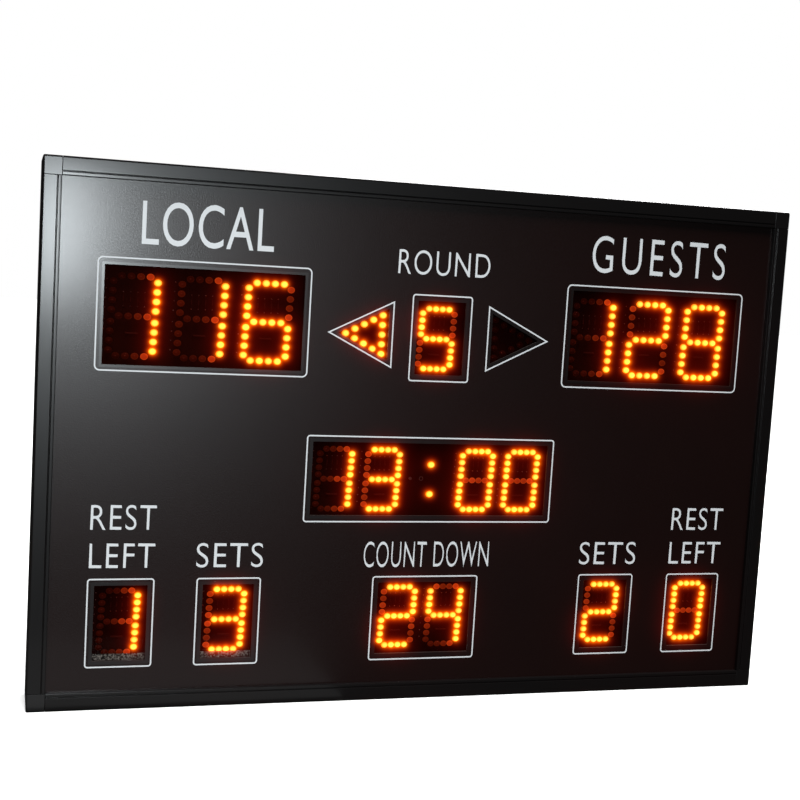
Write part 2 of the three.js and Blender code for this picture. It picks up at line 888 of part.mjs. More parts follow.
// Quarter-turn latch, shown unlocked: its cam hangs down and turns out behind the rear sheet to lock
function addLatch(name, level) {
  const camBack = sheetFront - clearance;
  const camFront = camBack - camThickness;
  const headFront = doorBack + clearance;
  const head = rodAlongY(latchX, level, headFront, latchHeadHeight, latchHeadRadius, latchSides);
  const shaftLength = headFront + overrun - camFront;
  const shaft = rodAlongY(latchX, level, camFront, shaftLength, latchShaftRadius, latchSides);
  const camSide = camWidth / 2;
  const camEnd = level - camLength;
  const cam = block(latchX - camSide, latchX + camSide, camFront, camBack, camEnd, level + camSide);
  const slotFront = headFront + latchHeadHeight - latchSlotDepth;
  const slot = block(
    latchX - latchSlotWidth / 2,
    latchX + latchSlotWidth / 2,
    slotFront,
    slotFront + latchSlotDepth + overrun,
    level - latchHeadRadius,
    level + latchHeadRadius,
  );
  addSolid(name, cut(joined(head, shaft, cam), slot), brightSteel);
}

// Electronics on the cross rails
function addPowerSupply() {
  const right = supplyLeft + supplyWidth;
  const back = moduleFront + supplyDepth;
  const shelf = back - terminalStepDepth;
  const bottom = moduleBottom;
  const body = solid(block(supplyLeft, right, moduleFront, back, bottom, moduleTop));
  const step = block(
    supplyLeft + supplyWall,
    right - supplyWall,
    shelf,
    back + overrun,
    bottom - overrun,
    bottom + terminalHeight,
  );
  const pitch = (supplyWidth - 2 * supplyWall) / terminalCount;
  const screws = Array.from({ length: terminalCount }, (unused, i) => rodAlongY(
    supplyLeft + supplyWall + pitch / 2 + i * pitch,
    bottom + terminalHeight / 2,
    shelf - overrun,
    terminalScrewHeight + overrun,
    terminalScrewRadius,
    screwSides,
  ));
  addSolid('power_supply', cut(body, step).add(joined(screws)), galvanised);
}

// Control board: chips and connectors as shares of the board's width and height, and their depth
const chipShares = [
  [0.42, 0.42, 0.16, 0.15, 0.35],
  [0.12, 0.62, 0.2, 0.1, 0.5],
  [0.68, 0.64, 0.2, 0.1, 0.5],
  [0.16, 0.92, 0.18, 0.08, 1.5],
  [0.5, 0.86, 0.36, 0.07, 1.5],
  [0.12, 0.1, 0.14, 0.12, 1.8],
  [0.38, 0.12, 0.1, 0.1, 1.2],
  [0.66, 0.16, 0.22, 0.12, 0.6],
];
const chipDepth = 8;

function addControlBoard() {
  const front = moduleFront + controlSpacer;
  const back = front + circuitThickness;
  const right = controlLeft + controlWidth;
  const pieces = [block(controlLeft, right, front, back, moduleBottom, moduleTop)];
  chipShares.forEach(([x, z, width, height, depth]) => {
    const x0 = controlLeft + x * controlWidth;
    const z0 = moduleBottom + z * moduleHeight;
    pieces.push(block(
      x0,
      x0 + width * controlWidth,
      front + circuitThickness / 2,
      back + depth * chipDepth,
      z0,
      z0 + height * moduleHeight,
    ));
  });
  [controlLeft + spacerInset, right - spacerInset].forEach((x) => {
    [lowerCrossRail, upperCrossRail].forEach((z) => {
      pieces.push(rodAlongY(x, z, moduleFront, controlSpacer + overrun, spacerSize / 2, screwSides));
    });
  });
  addSolid('control_board', joined(pieces), circuitGreen);
}

function addReceiver() {
  const right = receiverLeft + receiverWidth;
  const top = receiverBottom + receiverHeight;
  const body = block(receiverLeft, right, moduleFront, moduleFront + receiverDepth, receiverBottom, top);
  addPart('radio_receiver', body, blackPlastic);
}

function addHorn() {
  const flangeRise = hornFlangeHeight / 2;
  const flange = block(
    hornCentre - hornFlangeWidth / 2,
    hornCentre + hornFlangeWidth / 2,
    moduleFront,
    moduleFront + hornFlangeThickness,
    hornLevel - flangeRise,
    hornLevel + flangeRise,
  );
  const drum = rodAlongY(hornCentre, hornLevel, moduleFront, hornDepth, hornRadius, hornSides);
  const mouthFront = moduleFront + hornDepth - hornMouthDepth;
  const mouth = rodAlongY(
    hornCentre,
    hornLevel,
    mouthFront,
    hornMouthDepth + overrun,
    hornMouthRadius,
    hornSides,
  );
  addSolid('period_horn', cut(joined(flange, drum), mouth), blackPlastic);
}

// Mains inlet: a chamfered socket with three contacts above a fuse drawer
const rimBack = fittingFront + inletRimThickness;

function addInlet() {
  const rim = boxAround(inletCentre, inletLevel, inletWidth, inletHeight, inletRim);
  const bodyFront = fittingFront - inletBodyDepth;
  const body = joined(
    plate(rim, fittingFront, inletRimThickness),
    plate(
      boxAround(inletCentre, inletLevel, inletWidth, inletHeight, 0),
      bodyFront,
      inletBodyDepth + overrun,
    ),
  );
  const low = inletLevel + socketRise - socketHeight / 2;
  const high = low + socketHeight;
  const reach = socketWidth / 2;
  const socket = outline([
    [inletCentre - reach, low],
    [inletCentre + reach, low],
    [inletCentre + reach, high - socketChamfer],
    [inletCentre + reach - socketChamfer, high],
    [inletCentre - reach + socketChamfer, high],
    [inletCentre - reach, high - socketChamfer],
  ]);
  const socketFloor = rimBack - socketDepth;
  const pocket = plate(
    boxAround(inletCentre, inletLevel - drawerDrop, drawerWidth, drawerHeight, clearance),
    rimBack - drawerDepth - clearance,
    drawerDepth + clearance + overrun,
  );
  const contacts = [[-contactReach, -contactRise], [0, contactRise], [contactReach, -contactRise]];
  const pins = contacts.map(([dx, dz]) => {
    const x = inletCentre + dx;
    const z = inletLevel + socketRise + dz;
    return block(
      x - contactWidth / 2,
      x + contactWidth / 2,
      socketFloor - overrun,
      socketFloor + contactLength,
      z - contactHeight / 2,
      z + contactHeight / 2,
    );
  });
  const hollowed = cut(body, plate(socket, socketFloor, socketDepth + overrun), pocket);
  addSolid('mains_inlet', hollowed.add(joined(pins)), blackPlastic);
}

function addFuseDrawer() {
  const level = inletLevel - drawerDrop;
  const lipFront = rimBack + clearance;
  const drawer = joined(
    plate(
      boxAround(inletCentre, level, drawerWidth, drawerHeight, 0),
      rimBack - drawerDepth,
      drawerDepth + clearance + overrun,
    ),
    plate(boxAround(inletCentre, level, drawerWidth, drawerHeight, drawerLipMargin), lipFront, drawerLip),
  );
  addSolid('fuse_drawer', drawer, blackPlastic);
}

// Mains switch: the rocker tips on two stub pins in its housing
const switchRimBack = fittingFront + switchRimThickness;
const rockerAxisDepth = switchRimBack - rockerPivotDepth;
const pocketDepth = rockerPivotDepth + rockerBelow + pocketMargin;

function addSwitchHousing() {
  const bodyFront = fittingFront - switchBodyDepth;
  const body = joined(
    plate(
      boxAround(switchCentre, inletLevel, switchWidth, switchHeight, switchRim),
      fittingFront,
      switchRimThickness,
    ),
    plate(
      boxAround(switchCentre, inletLevel, switchWidth, switchHeight, 0),
      bodyFront,
      switchBodyDepth + overrun,
    ),
  );
  const pocket = plate(
    boxAround(switchCentre, inletLevel, rockerWidth, rockerHeight + 2 * rockerEndGap, clearance),
    switchRimBack - pocketDepth,
    pocketDepth + overrun,
  );
  const reach = rockerWidth / 2 + clearance + rockerPinLength;
  const pinHole = rodAlongX(
    rockerAxisDepth,
    inletLevel,
    switchCentre - reach,
    2 * reach,
    rockerPinRadius + clearance,
    rockerPinSides,
  );
  addSolid('switch_housing', cut(body, pocket, pinHole), blackPlastic);
}

function addRocker() {
  const rise = rockerHeight / 2;
  const section = outline([
    [-rockerBelow, -rise / 2],
    [-rockerDip, -rise],
    [rockerPivotDepth + rockerRise, -rise],
    [rockerPivotDepth + rockerDip, 0],
    [rockerPivotDepth + rockerRise, rise],
    [-rockerDip, rise],
    [-rockerBelow, rise / 2],
  ]);
  const reach = rockerWidth / 2;
  const pinReach = reach + rockerPinLength;
  const body = joined(
    barAlongX(section, -reach, rockerWidth),
    rodAlongX(0, 0, -pinReach, 2 * pinReach, rockerPinRadius, rockerPinSides),
  );
  const rocker = addSolid('switch_rocker', body, blackPlastic);
  rocker.rotation.x = THREE.MathUtils.degToRad(rockerTiltDegrees);
  rocker.position.set(switchCentre, rockerAxisDepth, inletLevel);
}

// Aerial: a fixed collar, a knuckle that swivels in it and a whip that tilts between the knuckle's ears
function addAerialSocket() {
  const collarFront = sheetFront - collarInside;
  const inner = rodAlongY(
    aerialX,
    aerialLevel,
    collarFront,
    aerialStandoff - collarFront,
    collarRadius,
    aerialSides,
  );
  const outerNut = rodAlongY(aerialX, aerialLevel, fittingFront, nutThickness, nutRadius, nutSides);
  const innerNutFront = sheetFront - clearance - nutThickness;
  const innerNut = rodAlongY(aerialX, aerialLevel, innerNutFront, nutThickness, nutRadius, nutSides);
  addSolid('aerial_socket', joined(inner, outerNut, innerNut), brass);
}

const earInner = earRadius - clearance;

function addAerialKnuckle() {
  const bodyFront = aerialStandoff + clearance;
  const base = rodAlongY(
    aerialX,
    aerialLevel,
    bodyFront,
    knuckleBodyDepth,
    knuckleBodyRadius,
    aerialSides,
  );
  const innerReach = knuckleBodyRadius - earThickness;
  const ears = [-knuckleBodyRadius, innerReach].flatMap((start) => {
    const left = aerialX + start;
    return [
      rodAlongX(aerialPivotDepth, aerialLevel, left, earThickness, earRadius, aerialSides),
      block(
        left,
        left + earThickness,
        bodyFront + knuckleBodyDepth / 2,
        aerialPivotDepth,
        aerialLevel - earInner,
        aerialLevel + earInner,
      ),
    ];
  });
  const trim = rodAlongY(
    aerialX,
    aerialLevel,
    bodyFront,
    aerialPivotDepth + earRadius - bodyFront,
    knuckleBodyRadius,
    aerialSides,
  );
  const bore = rodAlongX(
    aerialPivotDepth,
    aerialLevel,
    aerialX - knuckleBodyRadius - overrun,
    2 * (knuckleBodyRadius + overrun),
    aerialPinRadius + clearance,
    aerialSides,
  );
  addSolid('aerial_knuckle', cut(joined(base, ears).intersect(solid(trim)), bore), blackPlastic);
}

function addAerialWhip() {
  const tongueReach = knuckleBodyRadius - earThickness - clearance;
  const pinReach = knuckleBodyRadius - clearance;
  const start = aerialLevel + whipStart;
  const body = joined(
    rodAlongX(
      aerialPivotDepth,
      aerialLevel,
      aerialX - tongueReach,
      2 * tongueReach,
      tongueRadius,
      aerialSides,
    ),
    block(
      aerialX - tongueReach,
      aerialX + tongueReach,
      aerialPivotDepth - earInner / 2,
      aerialPivotDepth + earInner / 2,
      aerialLevel,
      start + overrun,
    ),
    rodAlongX(
      aerialPivotDepth,
      aerialLevel,
      aerialX - pinReach,
      2 * pinReach,
      aerialPinRadius,
      aerialSides,
    ),
    rodAlongZ(aerialX, aerialPivotDepth, start, whipLength, whipRadius, aerialSides, whipTipRadius),
  );
  addSolid('aerial_whip', body, blackPlastic);
}

// Hangers: hat-shaped steel brackets with a keyhole, near the top of the rear sheet
function addHanger(name, side) {
  const middle = side * hangerReach;
  const half = hangerWidth / 2;
  const web = half - hangerFoot;
  const inner = web - hangerSheet;
  const top = overallDepth;
  const footBack = fittingFront + hangerSheet;
  const section = outline([
    [middle - half, fittingFront],
    [middle - inner, fittingFront],
    [middle - inner, top - hangerSheet],
    [middle + inner, top - hangerSheet],
    [middle + inner, fittingFront],
    [middle + half, fittingFront],
    [middle + half, footBack],
    [middle + web, footBack],
    [middle + web, top],
    [middle - web, top],
    [middle - web, footBack],
    [middle - half, footBack],
  ]);
  const level = hangerBottom + hangerHeight / 2;
  const holeFront = top - hangerSheet - overrun;
  const holeDepth = hangerSheet + 2 * overrun;
  const keyhole = [
    rodAlongY(middle, level - keyholeSlotLength / 2, holeFront, holeDepth, keyholeRadius, keyholeSides),
    block(
      middle - keyholeSlotWidth / 2,
      middle + keyholeSlotWidth / 2,
      holeFront,
      holeFront + holeDepth,
      level - keyholeSlotLength / 2,
      level + keyholeSlotLength,
    ),
  ];
  const channel = solid(barAlongZ(section, hangerBottom, hangerHeight));
  addSolid(name, cut(channel, keyhole), galvanised);
}

// Ribbon loom: one flat trunk with a branch behind each row of windows and a plug at each board of lights
function addRibbonLoom() {
  const plugFront = circuitBack + clearance;
  const half = ribbonWidth / 2;
  const rows = [scoreLevel - branchDrop, clockLevel - branchDrop, lowerLevel - branchDrop];
  const strip = (x0, x1, z0, z1) => block(x0, x1, ribbonDepth, ribbonBack, z0, z1);
  const pieces = [strip(trunkX - half, trunkX + half, rows[2], rows[0])];
  const reaches = [scoreReach, trunkX, timeoutReach];
  rows.forEach((z, i) => pieces.push(strip(-reaches[i], reaches[i], z - half, z + half)));
  const plug = (x, z) => block(
    x - plugWidth / 2,
    x + plugWidth / 2,
    plugFront,
    ribbonDepth + ribbonThickness / 2,
    z - plugHeight / 2,
    z + plugHeight / 2,
  );
  const arrowReach = (arrowBaseReach + arrowTipReach) / 2;
  const upperPlugs = [-scoreReach, -arrowReach, 0, arrowReach, scoreReach];
  const lowerPlugs = [-timeoutReach, -foulReach, 0, foulReach, timeoutReach];
  upperPlugs.forEach((x) => pieces.push(plug(x, rows[0])));
  pieces.push(plug(0, rows[1]));
  lowerPlugs.forEach((x) => pieces.push(plug(x, rows[2])));
  const controlFront = moduleFront + controlSpacer;
  const link = block(
    trunkX - half,
    trunkX + half,
    ribbonDepth,
    controlFront - clearance,
    hatchLevel,
    hatchLevel + ribbonThickness,
  );
  addSolid('ribbon_loom', joined(pieces, link), greyRibbon);
}

// Round leads: straight runs with rounded bends
function route(points, bend) {
  const path = new THREE.CurvePath();
  let from = points[0];
  for (let i = 1; i < points.length - 1; i += 1) {
    const corner = points[i];
    const before = points[i - 1].clone().sub(corner).setLength(bend).add(corner);
    const after = points[i + 1].clone().sub(corner).setLength(bend).add(corner);
    path.add(new THREE.LineCurve3(from, before));
    path.add(new THREE.QuadraticBezierCurve3(before, corner, after));
    from = after;
  }
  path.add(new THREE.LineCurve3(from, points[points.length - 1]));
  return path;
}

function leadSection(radius) {
  return outline(Array.from({ length: leadSides }, (unused, i) => {
    const angle = 2 * Math.PI * i / leadSides;
    return [radius * Math.cos(angle), radius * Math.sin(angle)];
  }));
}

function addLead(name, points, radius, bend) {
  const path = route(points.map((point) => new THREE.Vector3(...point)), bend);
  const geometry = new THREE.ExtrudeGeometry(leadSection(radius), {
    steps: points.length > 2 ? leadSteps : 1,
    extrudePath: path,
    bevelEnabled: false,
  });
  addPart(name, geometry, blackLead);
}

function addLeads() {
  const supplyMiddle = supplyLeft + supplyWidth / 2;
  const controlPlugX = controlLeft + controlWidth / 4;
  const socketBack = fittingFront - inletBodyDepth - clearance;
  const switchBack = fittingFront - switchBodyDepth - clearance;
  const runLevel = inletLevel + mainsLeadDrop;
  addLead('inlet_lead', [
    [inletCentre, socketBack, inletLevel],
    [inletCentre, mainsLeadDepth, inletLevel],
    [switchCentre - switchWidth / 4, mainsLeadDepth, inletLevel],
    [switchCentre - switchWidth / 4, switchBack, inletLevel],
  ], mainsLeadRadius, leadBend);
  addLead('mains_lead', [
    [switchCentre + switchWidth / 4, switchBack, inletLevel],
    [switchCentre + switchWidth / 4, mainsLeadDepth, inletLevel],
    [switchCentre + switchWidth / 4, mainsLeadDepth, runLevel],
    [supplyMiddle, mainsLeadDepth, runLevel],
    [supplyMiddle, moduleFront + terminalStepDepth, runLevel],
    [supplyMiddle, moduleFront + terminalStepDepth, moduleBottom - clearance],
  ], mainsLeadRadius, leadBend);
  addLead('low_voltage_lead', [
    [supplyMiddle, moduleFront + supplyDepth / 2, moduleTop + clearance],
    [supplyMiddle, moduleFront + supplyDepth / 2, moduleTop + lowVoltageRise],
    [controlPlugX, moduleFront + supplyDepth / 2, moduleTop + lowVoltageRise],
    [controlPlugX, moduleFront + supplyDepth / 2, moduleTop + clearance],
  ], lowVoltageLeadRadius, leadBend);
  const controlRight = controlLeft + controlWidth;
  const controlMiddle = moduleFront + controlSpacer + circuitThickness / 2;
  addLead('receiver_lead', [
    [controlRight + clearance, controlMiddle, receiverBottom + receiverHeight / 2],
    [receiverLeft - clearance, controlMiddle, receiverBottom + receiverHeight / 2],
  ], thinLeadRadius, thinLeadBend);
  addLead('horn_lead', [
    [controlRight + clearance, controlMiddle, hornLevel],
    [hornCentre - hornRadius - clearance, controlMiddle, hornLevel],
  ], thinLeadRadius, thinLeadBend);
  const receiverLevel = receiverBottom + receiverHeight / 2;
  const receiverMiddle = moduleFront + receiverDepth / 2;
  addLead('aerial_lead', [
    [receiverLeft + receiverWidth + clearance, receiverMiddle, receiverLevel],
    [aerialX, receiverMiddle, receiverLevel],
    [aerialX, receiverMiddle, aerialLevel],
    [aerialX, sheetFront - collarInside - clearance, aerialLevel],
  ], thinLeadRadius, thinLeadBend);
}

addRails();
addCornerCaps();
addFrontPanel();
addWindows();
addCrossRail('lower_cross_rail', lowerCrossRail);
addCrossRail('upper_cross_rail', upperCrossRail);
addRearSheet();
addHinge();
addDoor();
addLatch('lower_latch', hatchLevel - latchRise);
addLatch('upper_latch', hatchLevel + latchRise);
addPowerSupply();
addControlBoard();
addReceiver();
addHorn();
addInlet();
addFuseDrawer();
addSwitchHousing();
addRocker();
addAerialSocket();
addAerialKnuckle();
addAerialWhip();
addHanger('left_hanger', -1);
addHanger('right_hanger', 1);
addRibbonLoom();
addLeads();

export default scoreboard;
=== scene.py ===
# %% [markdown]
# # A scoreboard for a sports hall
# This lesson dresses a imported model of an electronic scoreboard. The model is a fixed frame: its pieces
# already have their real sizes and places, in metres, with Z up and the figures facing -Y.
# We keep what has the right shape, model finer pieces over the rest, and give every surface a finish.

# %% Load the frame
import math
import random

import bpy
from mathutils import Matrix, Vector
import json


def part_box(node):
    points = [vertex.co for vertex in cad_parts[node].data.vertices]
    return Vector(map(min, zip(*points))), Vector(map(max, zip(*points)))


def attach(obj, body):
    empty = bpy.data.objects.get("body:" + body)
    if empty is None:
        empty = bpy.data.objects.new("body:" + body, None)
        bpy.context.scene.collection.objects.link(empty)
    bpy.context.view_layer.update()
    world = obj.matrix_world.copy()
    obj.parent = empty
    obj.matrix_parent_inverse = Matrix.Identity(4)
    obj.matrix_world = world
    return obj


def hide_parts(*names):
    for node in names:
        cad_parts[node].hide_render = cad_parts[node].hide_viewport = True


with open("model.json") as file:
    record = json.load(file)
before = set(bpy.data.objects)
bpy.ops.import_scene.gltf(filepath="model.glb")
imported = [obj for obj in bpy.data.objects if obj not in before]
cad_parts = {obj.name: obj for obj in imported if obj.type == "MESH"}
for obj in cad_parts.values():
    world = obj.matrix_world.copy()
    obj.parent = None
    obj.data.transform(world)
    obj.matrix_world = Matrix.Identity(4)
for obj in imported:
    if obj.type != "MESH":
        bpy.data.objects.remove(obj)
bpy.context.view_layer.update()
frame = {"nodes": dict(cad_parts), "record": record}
MM = 0.001
panel_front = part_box("front_panel")[0].y
panel_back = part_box("front_panel")[1].y
rail_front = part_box("top_rail")[0].y
rail_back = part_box("top_rail")[1].y
rail_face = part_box("bottom_rail")[1].z
half_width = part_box("right_rail")[1].x
board_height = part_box("top_rail")[1].z
board_centre = Vector((0, 0, board_height / 2))
print("board", round(2 * half_width, 3), "m wide and", round(board_height, 3), "m high")

# %% [markdown]
# ## The camera
# The photograph was taken from beyond the board's left side and a little below its top. The camera leans a
# few degrees, which is why the board's lower edge rises to the right. We aim it at a point on the panel and
# then roll it about its own line of sight. The board isn't in the middle of what the lens saw, as the
# picture was cropped, and a small shift of the sensor stands for that.

# %% Place the camera
camera_place = Vector((-0.6421, -1.7715, 0.6316))
aim_place = Vector((-0.1824, -0.0462, 0.4701))
camera_roll = math.radians(3.07)
camera_lens = 53.5
camera_shift = (0.1, -0.0024)

camera_data = bpy.data.cameras.new("camera")
camera_data.lens = camera_lens
camera_data.shift_x, camera_data.shift_y = camera_shift
camera = bpy.data.objects.new("camera", camera_data)
bpy.context.scene.collection.objects.link(camera)
camera.location = camera_place
turn = (aim_place - camera_place).to_track_quat("-Z", "Y").to_matrix()
camera.rotation_euler = (turn @ Matrix.Rotation(camera_roll, 3, "Z")).to_euler()
bpy.context.scene.camera = camera
print("camera", tuple(round(v, 3) for v in camera.location))

# %% [markdown]
# ## Studio
# A soft box beside the camera gives the panel its one broad highlight, in the upper left corner. Its grid
# keeps the light together, so the white print gets dimmer to the right. A sun above and in front of the
# board lights the print evenly and makes no highlight. The rest of the room stays dark, so that the black
# panel stays black, while the camera itself sees a white backdrop. A pale floor carries the board but
# doesn't light it. A dim card on the floor shows in the board's lower left corner instead, and a second
# soft box lights the rear.

# %% Floor, world and lights
floor_size = 60
paper_look = {"Base Color": (0.86, 0.86, 0.86, 1), "Roughness": 0.9, "Specular IOR Level": 0.1}
sky_for_camera = {"Color": (1, 1, 1, 1), "Strength": 1.0}
sky_for_object = {"Color": (1, 0.98, 0.96, 1), "Strength": 0.016}
scene = bpy.context.scene


def set_options(thing, options):
    for name, option in options.items():
        setattr(thing, name, option)


def set_inputs(node, values):
    for name, value in values.items():
        node.inputs[name].default_value = value


def add_node(tree, kind, values=None, **options):
    """Adds a node, sets its options and gives its inputs their values."""
    node = tree.nodes.new(kind)
    set_options(node, options)
    set_inputs(node, values or {})
    return node


def link_nodes(tree, *pairs):
    for source, target in pairs:
        tree.links.new(source, target)


def new_material(name, values):
    """A material and its Principled shader, whose inputs get the values."""
    material = bpy.data.materials.new(name)
    material.use_nodes = True
    shader = material.node_tree.nodes["Principled BSDF"]
    set_inputs(shader, values)
    return material, shader


def make_floor():
    bpy.ops.mesh.primitive_plane_add(size=floor_size, location=(0, 0, 0))
    floor = bpy.context.object
    floor.name = "floor"
    floor.data.materials.append(new_material("pale floor", paper_look)[0])
    floor.visible_glossy = False
    floor.visible_diffuse = False


def make_world():
    """The camera sees one sky, and what reaches the board comes from another."""
    scene.world = bpy.data.worlds.new("studio")
    scene.world.use_nodes = True
    tree = scene.world.node_tree
    tree.nodes.clear()
    path = add_node(tree, "ShaderNodeLightPath")
    seen = add_node(tree, "ShaderNodeBackground", sky_for_camera)
    unseen = add_node(tree, "ShaderNodeBackground", sky_for_object)
    mix = add_node(tree, "ShaderNodeMixShader")
    output = add_node(tree, "ShaderNodeOutputWorld")
    link_nodes(
        tree,
        (path.outputs["Is Camera Ray"], mix.inputs[0]),
        (unseen.outputs[0], mix.inputs[1]),
        (seen.outputs[0], mix.inputs[2]),
        (mix.outputs[0], output.inputs["Surface"]),
    )


def add_light(name, kind, **options):
    data = bpy.data.lights.new(name, kind)
    set_options(data, options)
    light = bpy.data.objects.new(name, data)
    scene.collection.objects.link(light)
    return light


def soft_box(name, place, target, size, power, colour=(1, 1, 1), spread=180):
    light = add_light(
        name, "AREA", energy=power, shape="RECTANGLE", size=size[0], size_y=size[1], color=colour,
        spread=math.radians(spread),
    )
    light.location = place
    light.rotation_euler = (Vector(target) - Vector(place)).to_track_quat("-Z", "Y").to_euler()
    light.visible_camera = False


def overhead_sun(strength, lean, width):
    light = add_light("overhead light", "SUN", energy=strength, angle=math.radians(width))
    light.rotation_euler = (math.radians(lean), 0, 0)
    light.visible_glossy = False


make_floor()
make_world()
soft_box(
    "key light", place=(-0.50, -2.85, 0.81), target=(-0.60, 0, 0.68), size=(0.26, 0.42), power=4.85,
    colour=(0.89, 0.965, 1.0), spread=80,
)
soft_box("low card", place=(-0.72, -0.22, 0.004), target=(-0.72, -0.22, 1), size=(1.2, 0.32), power=0.24)
soft_box("rear light", place=(1.6, 2.9, 2.2), target=(0, 0, 0.4), size=(2.4, 1.6), power=200)
overhead_sun(strength=6.0, lean=19.5, width=30)
scene.view_settings.view_transform = "Standard"

# %% [markdown]
# ## A glow for the lights
# A camera's lens and sensor spread the light of very bright lamps. The compositor can do the same to the
# finished picture. The glare node picks out only what is brighter than a threshold. The floor can be as
# bright, so the blue part is taken off all three colours, which leaves nothing of what is white or bluish,
# and what would fall below black is lifted to black. Blurs of four widths spread the rest, each added back
# with its own tint. The red windows colour what is spread behind them, so the wider halos are red although
# the lamps' cores are yellow.

# %% Glow
glow_threshold = 1.3
glow_spreads = (
    (4, (1.30, 1.25, 0.20)),
    (9, (1.50, 0.300, 0.003)),
    (28, (0.30, 0.018, 0.001)),
    (90, (0.05, 0.003, 0.001)),
)


def make_glow():
    scene.use_nodes = True
    tree = scene.node_tree
    tree.nodes.clear()
    layers = add_node(tree, "CompositorNodeRLayers")
    bright = add_node(tree, "CompositorNodeGlare", {"Threshold": glow_threshold}, glare_type="BLOOM")
    channels = add_node(tree, "CompositorNodeSeparateColor")
    coloured = add_node(tree, "CompositorNodeMixRGB", blend_type="SUBTRACT")
    no_less = add_node(tree, "CompositorNodeMixRGB", {2: (0, 0, 0, 1)}, blend_type="LIGHTEN")
    output = add_node(tree, "CompositorNodeComposite")
    link_nodes(
        tree,
        (layers.outputs["Image"], bright.inputs["Image"]),
        (bright.outputs["Highlights"], channels.inputs["Image"]),
        (bright.outputs["Highlights"], coloured.inputs[1]),
        (channels.outputs["Blue"], coloured.inputs[2]),
        (coloured.outputs["Image"], no_less.inputs[1]),
    )
    picture = layers.outputs["Image"]
    for reach, tint in glow_spreads:
        spread = add_node(tree, "CompositorNodeBlur", {"Size": (reach, reach)}, filter_type="GAUSS")
        tinted = add_node(tree, "CompositorNodeMixRGB", {2: (*tint, 1)}, blend_type="MULTIPLY")
        add = add_node(tree, "CompositorNodeMixRGB", blend_type="ADD")
        link_nodes(
            tree,
            (no_less.outputs["Image"], spread.inputs["Image"]),
            (spread.outputs["Image"], tinted.inputs[1]),
            (picture, add.inputs[1]),
            (tinted.outputs["Image"], add.inputs[2]),
        )
        picture = add.outputs["Image"]
    tree.links.new(picture, output.inputs["Image"])


make_glow()
print("glow above", glow_threshold, "in", len(glow_spreads), "spreads")

# %% [markdown]
# ## Finishes
# Each finish is one node material around a Principled shader. Noise in object coordinates changes the
# colour and the roughness a little from place to place, and a bump gives the grain. The helpers below make
# that common part, and each finish then sets its own numbers.

# %% Helpers for finishes
def ramp_between(tree, factor, low, high):
    ramp = add_node(tree, "ShaderNodeMapRange", {"To Min": low, "To Max": high})
    tree.links.new(factor, ramp.inputs["Value"])
    return ramp.outputs["Result"]


def noise_at(tree, scale, stretch=(1, 1, 1), detail=3):
    place = add_node(tree, "ShaderNodeTexCoord")
    mapping = add_node(tree, "ShaderNodeMapping", {"Scale": stretch})
    noise = add_node(tree, "ShaderNodeTexNoise", {"Scale": scale, "Detail": detail})
    link_nodes(
        tree,
        (place.outputs["Object"], mapping.inputs["Vector"]),
        (mapping.outputs["Vector"], noise.inputs["Vector"]),
    )
    return noise.outputs["Fac"]


def mixed_colour(tree, factor, first, second):
    mix = add_node(tree, "ShaderNodeMix", {"A": (*first, 1), "B": (*second, 1)}, data_type="RGBA")
    tree.links.new(factor, mix.inputs["Factor"])
    return mix.outputs["Result"]


def make_finish(
    name, colours, roughness, grain, metallic=0.0, specular=0.5, stretch=(1, 1, 1), patch=9,
    coat=(0.0, 0.1), tint=(1, 1, 1),
):
    """colours and roughness are pairs, grain is the bump's scale, strength and depth, patch is the scale
    of the changes of colour, and coat is the clear coat's weight and roughness."""
    material, shader = new_material(name, {
        "Metallic": metallic, "Specular IOR Level": specular, "Specular Tint": (*tint, 1),
        "Coat Weight": coat[0], "Coat Roughness": coat[1],
    })
    tree = material.node_tree
    scale, strength, depth = grain
    patches = noise_at(tree, patch, stretch)
    fine = noise_at(tree, scale, stretch, detail=2)
    bump = add_node(tree, "ShaderNodeBump", {"Strength": strength, "Distance": depth})
    link_nodes(
        tree,
        (mixed_colour(tree, patches, *colours), shader.inputs["Base Color"]),
        (ramp_between(tree, fine, *roughness), shader.inputs["Roughness"]),
        (fine, bump.inputs["Height"]),
        (bump.outputs["Normal"], shader.inputs["Normal"]),
    )
    return material


print("helpers for finishes ready")

# %% [markdown]
# The rails are black anodised aluminium, drawn through a die, so their grain runs along them. The front
# panel has a black film with a fine texture, a weak gloss and a warm tone. Its roughness changes from speck
# to speck, which makes its highlight grainy. Rails and panel take their highlight from the soft box, and
# their roughness decides how far it spreads.

# %% Finishes of the front
black_tones = ((0.0034, 0.0028, 0.0028), (0.0050, 0.0043, 0.0043))
rail_gloss = (0.34, 0.40)
thin_coat = (0.36, 0.19)
rail_grain = (700, 0.04, 0.0003)
fine_grain = (900, 0.12, 0.0003)
rough_grain = (900, 0.2, 0.0003)
faint_grain = (900, 0.1, 0.0002)


def make_rail_finish(name, stretch):
    return make_finish(
        name, black_tones, rail_gloss, rail_grain, specular=0.46, stretch=stretch, coat=thin_coat,
    )


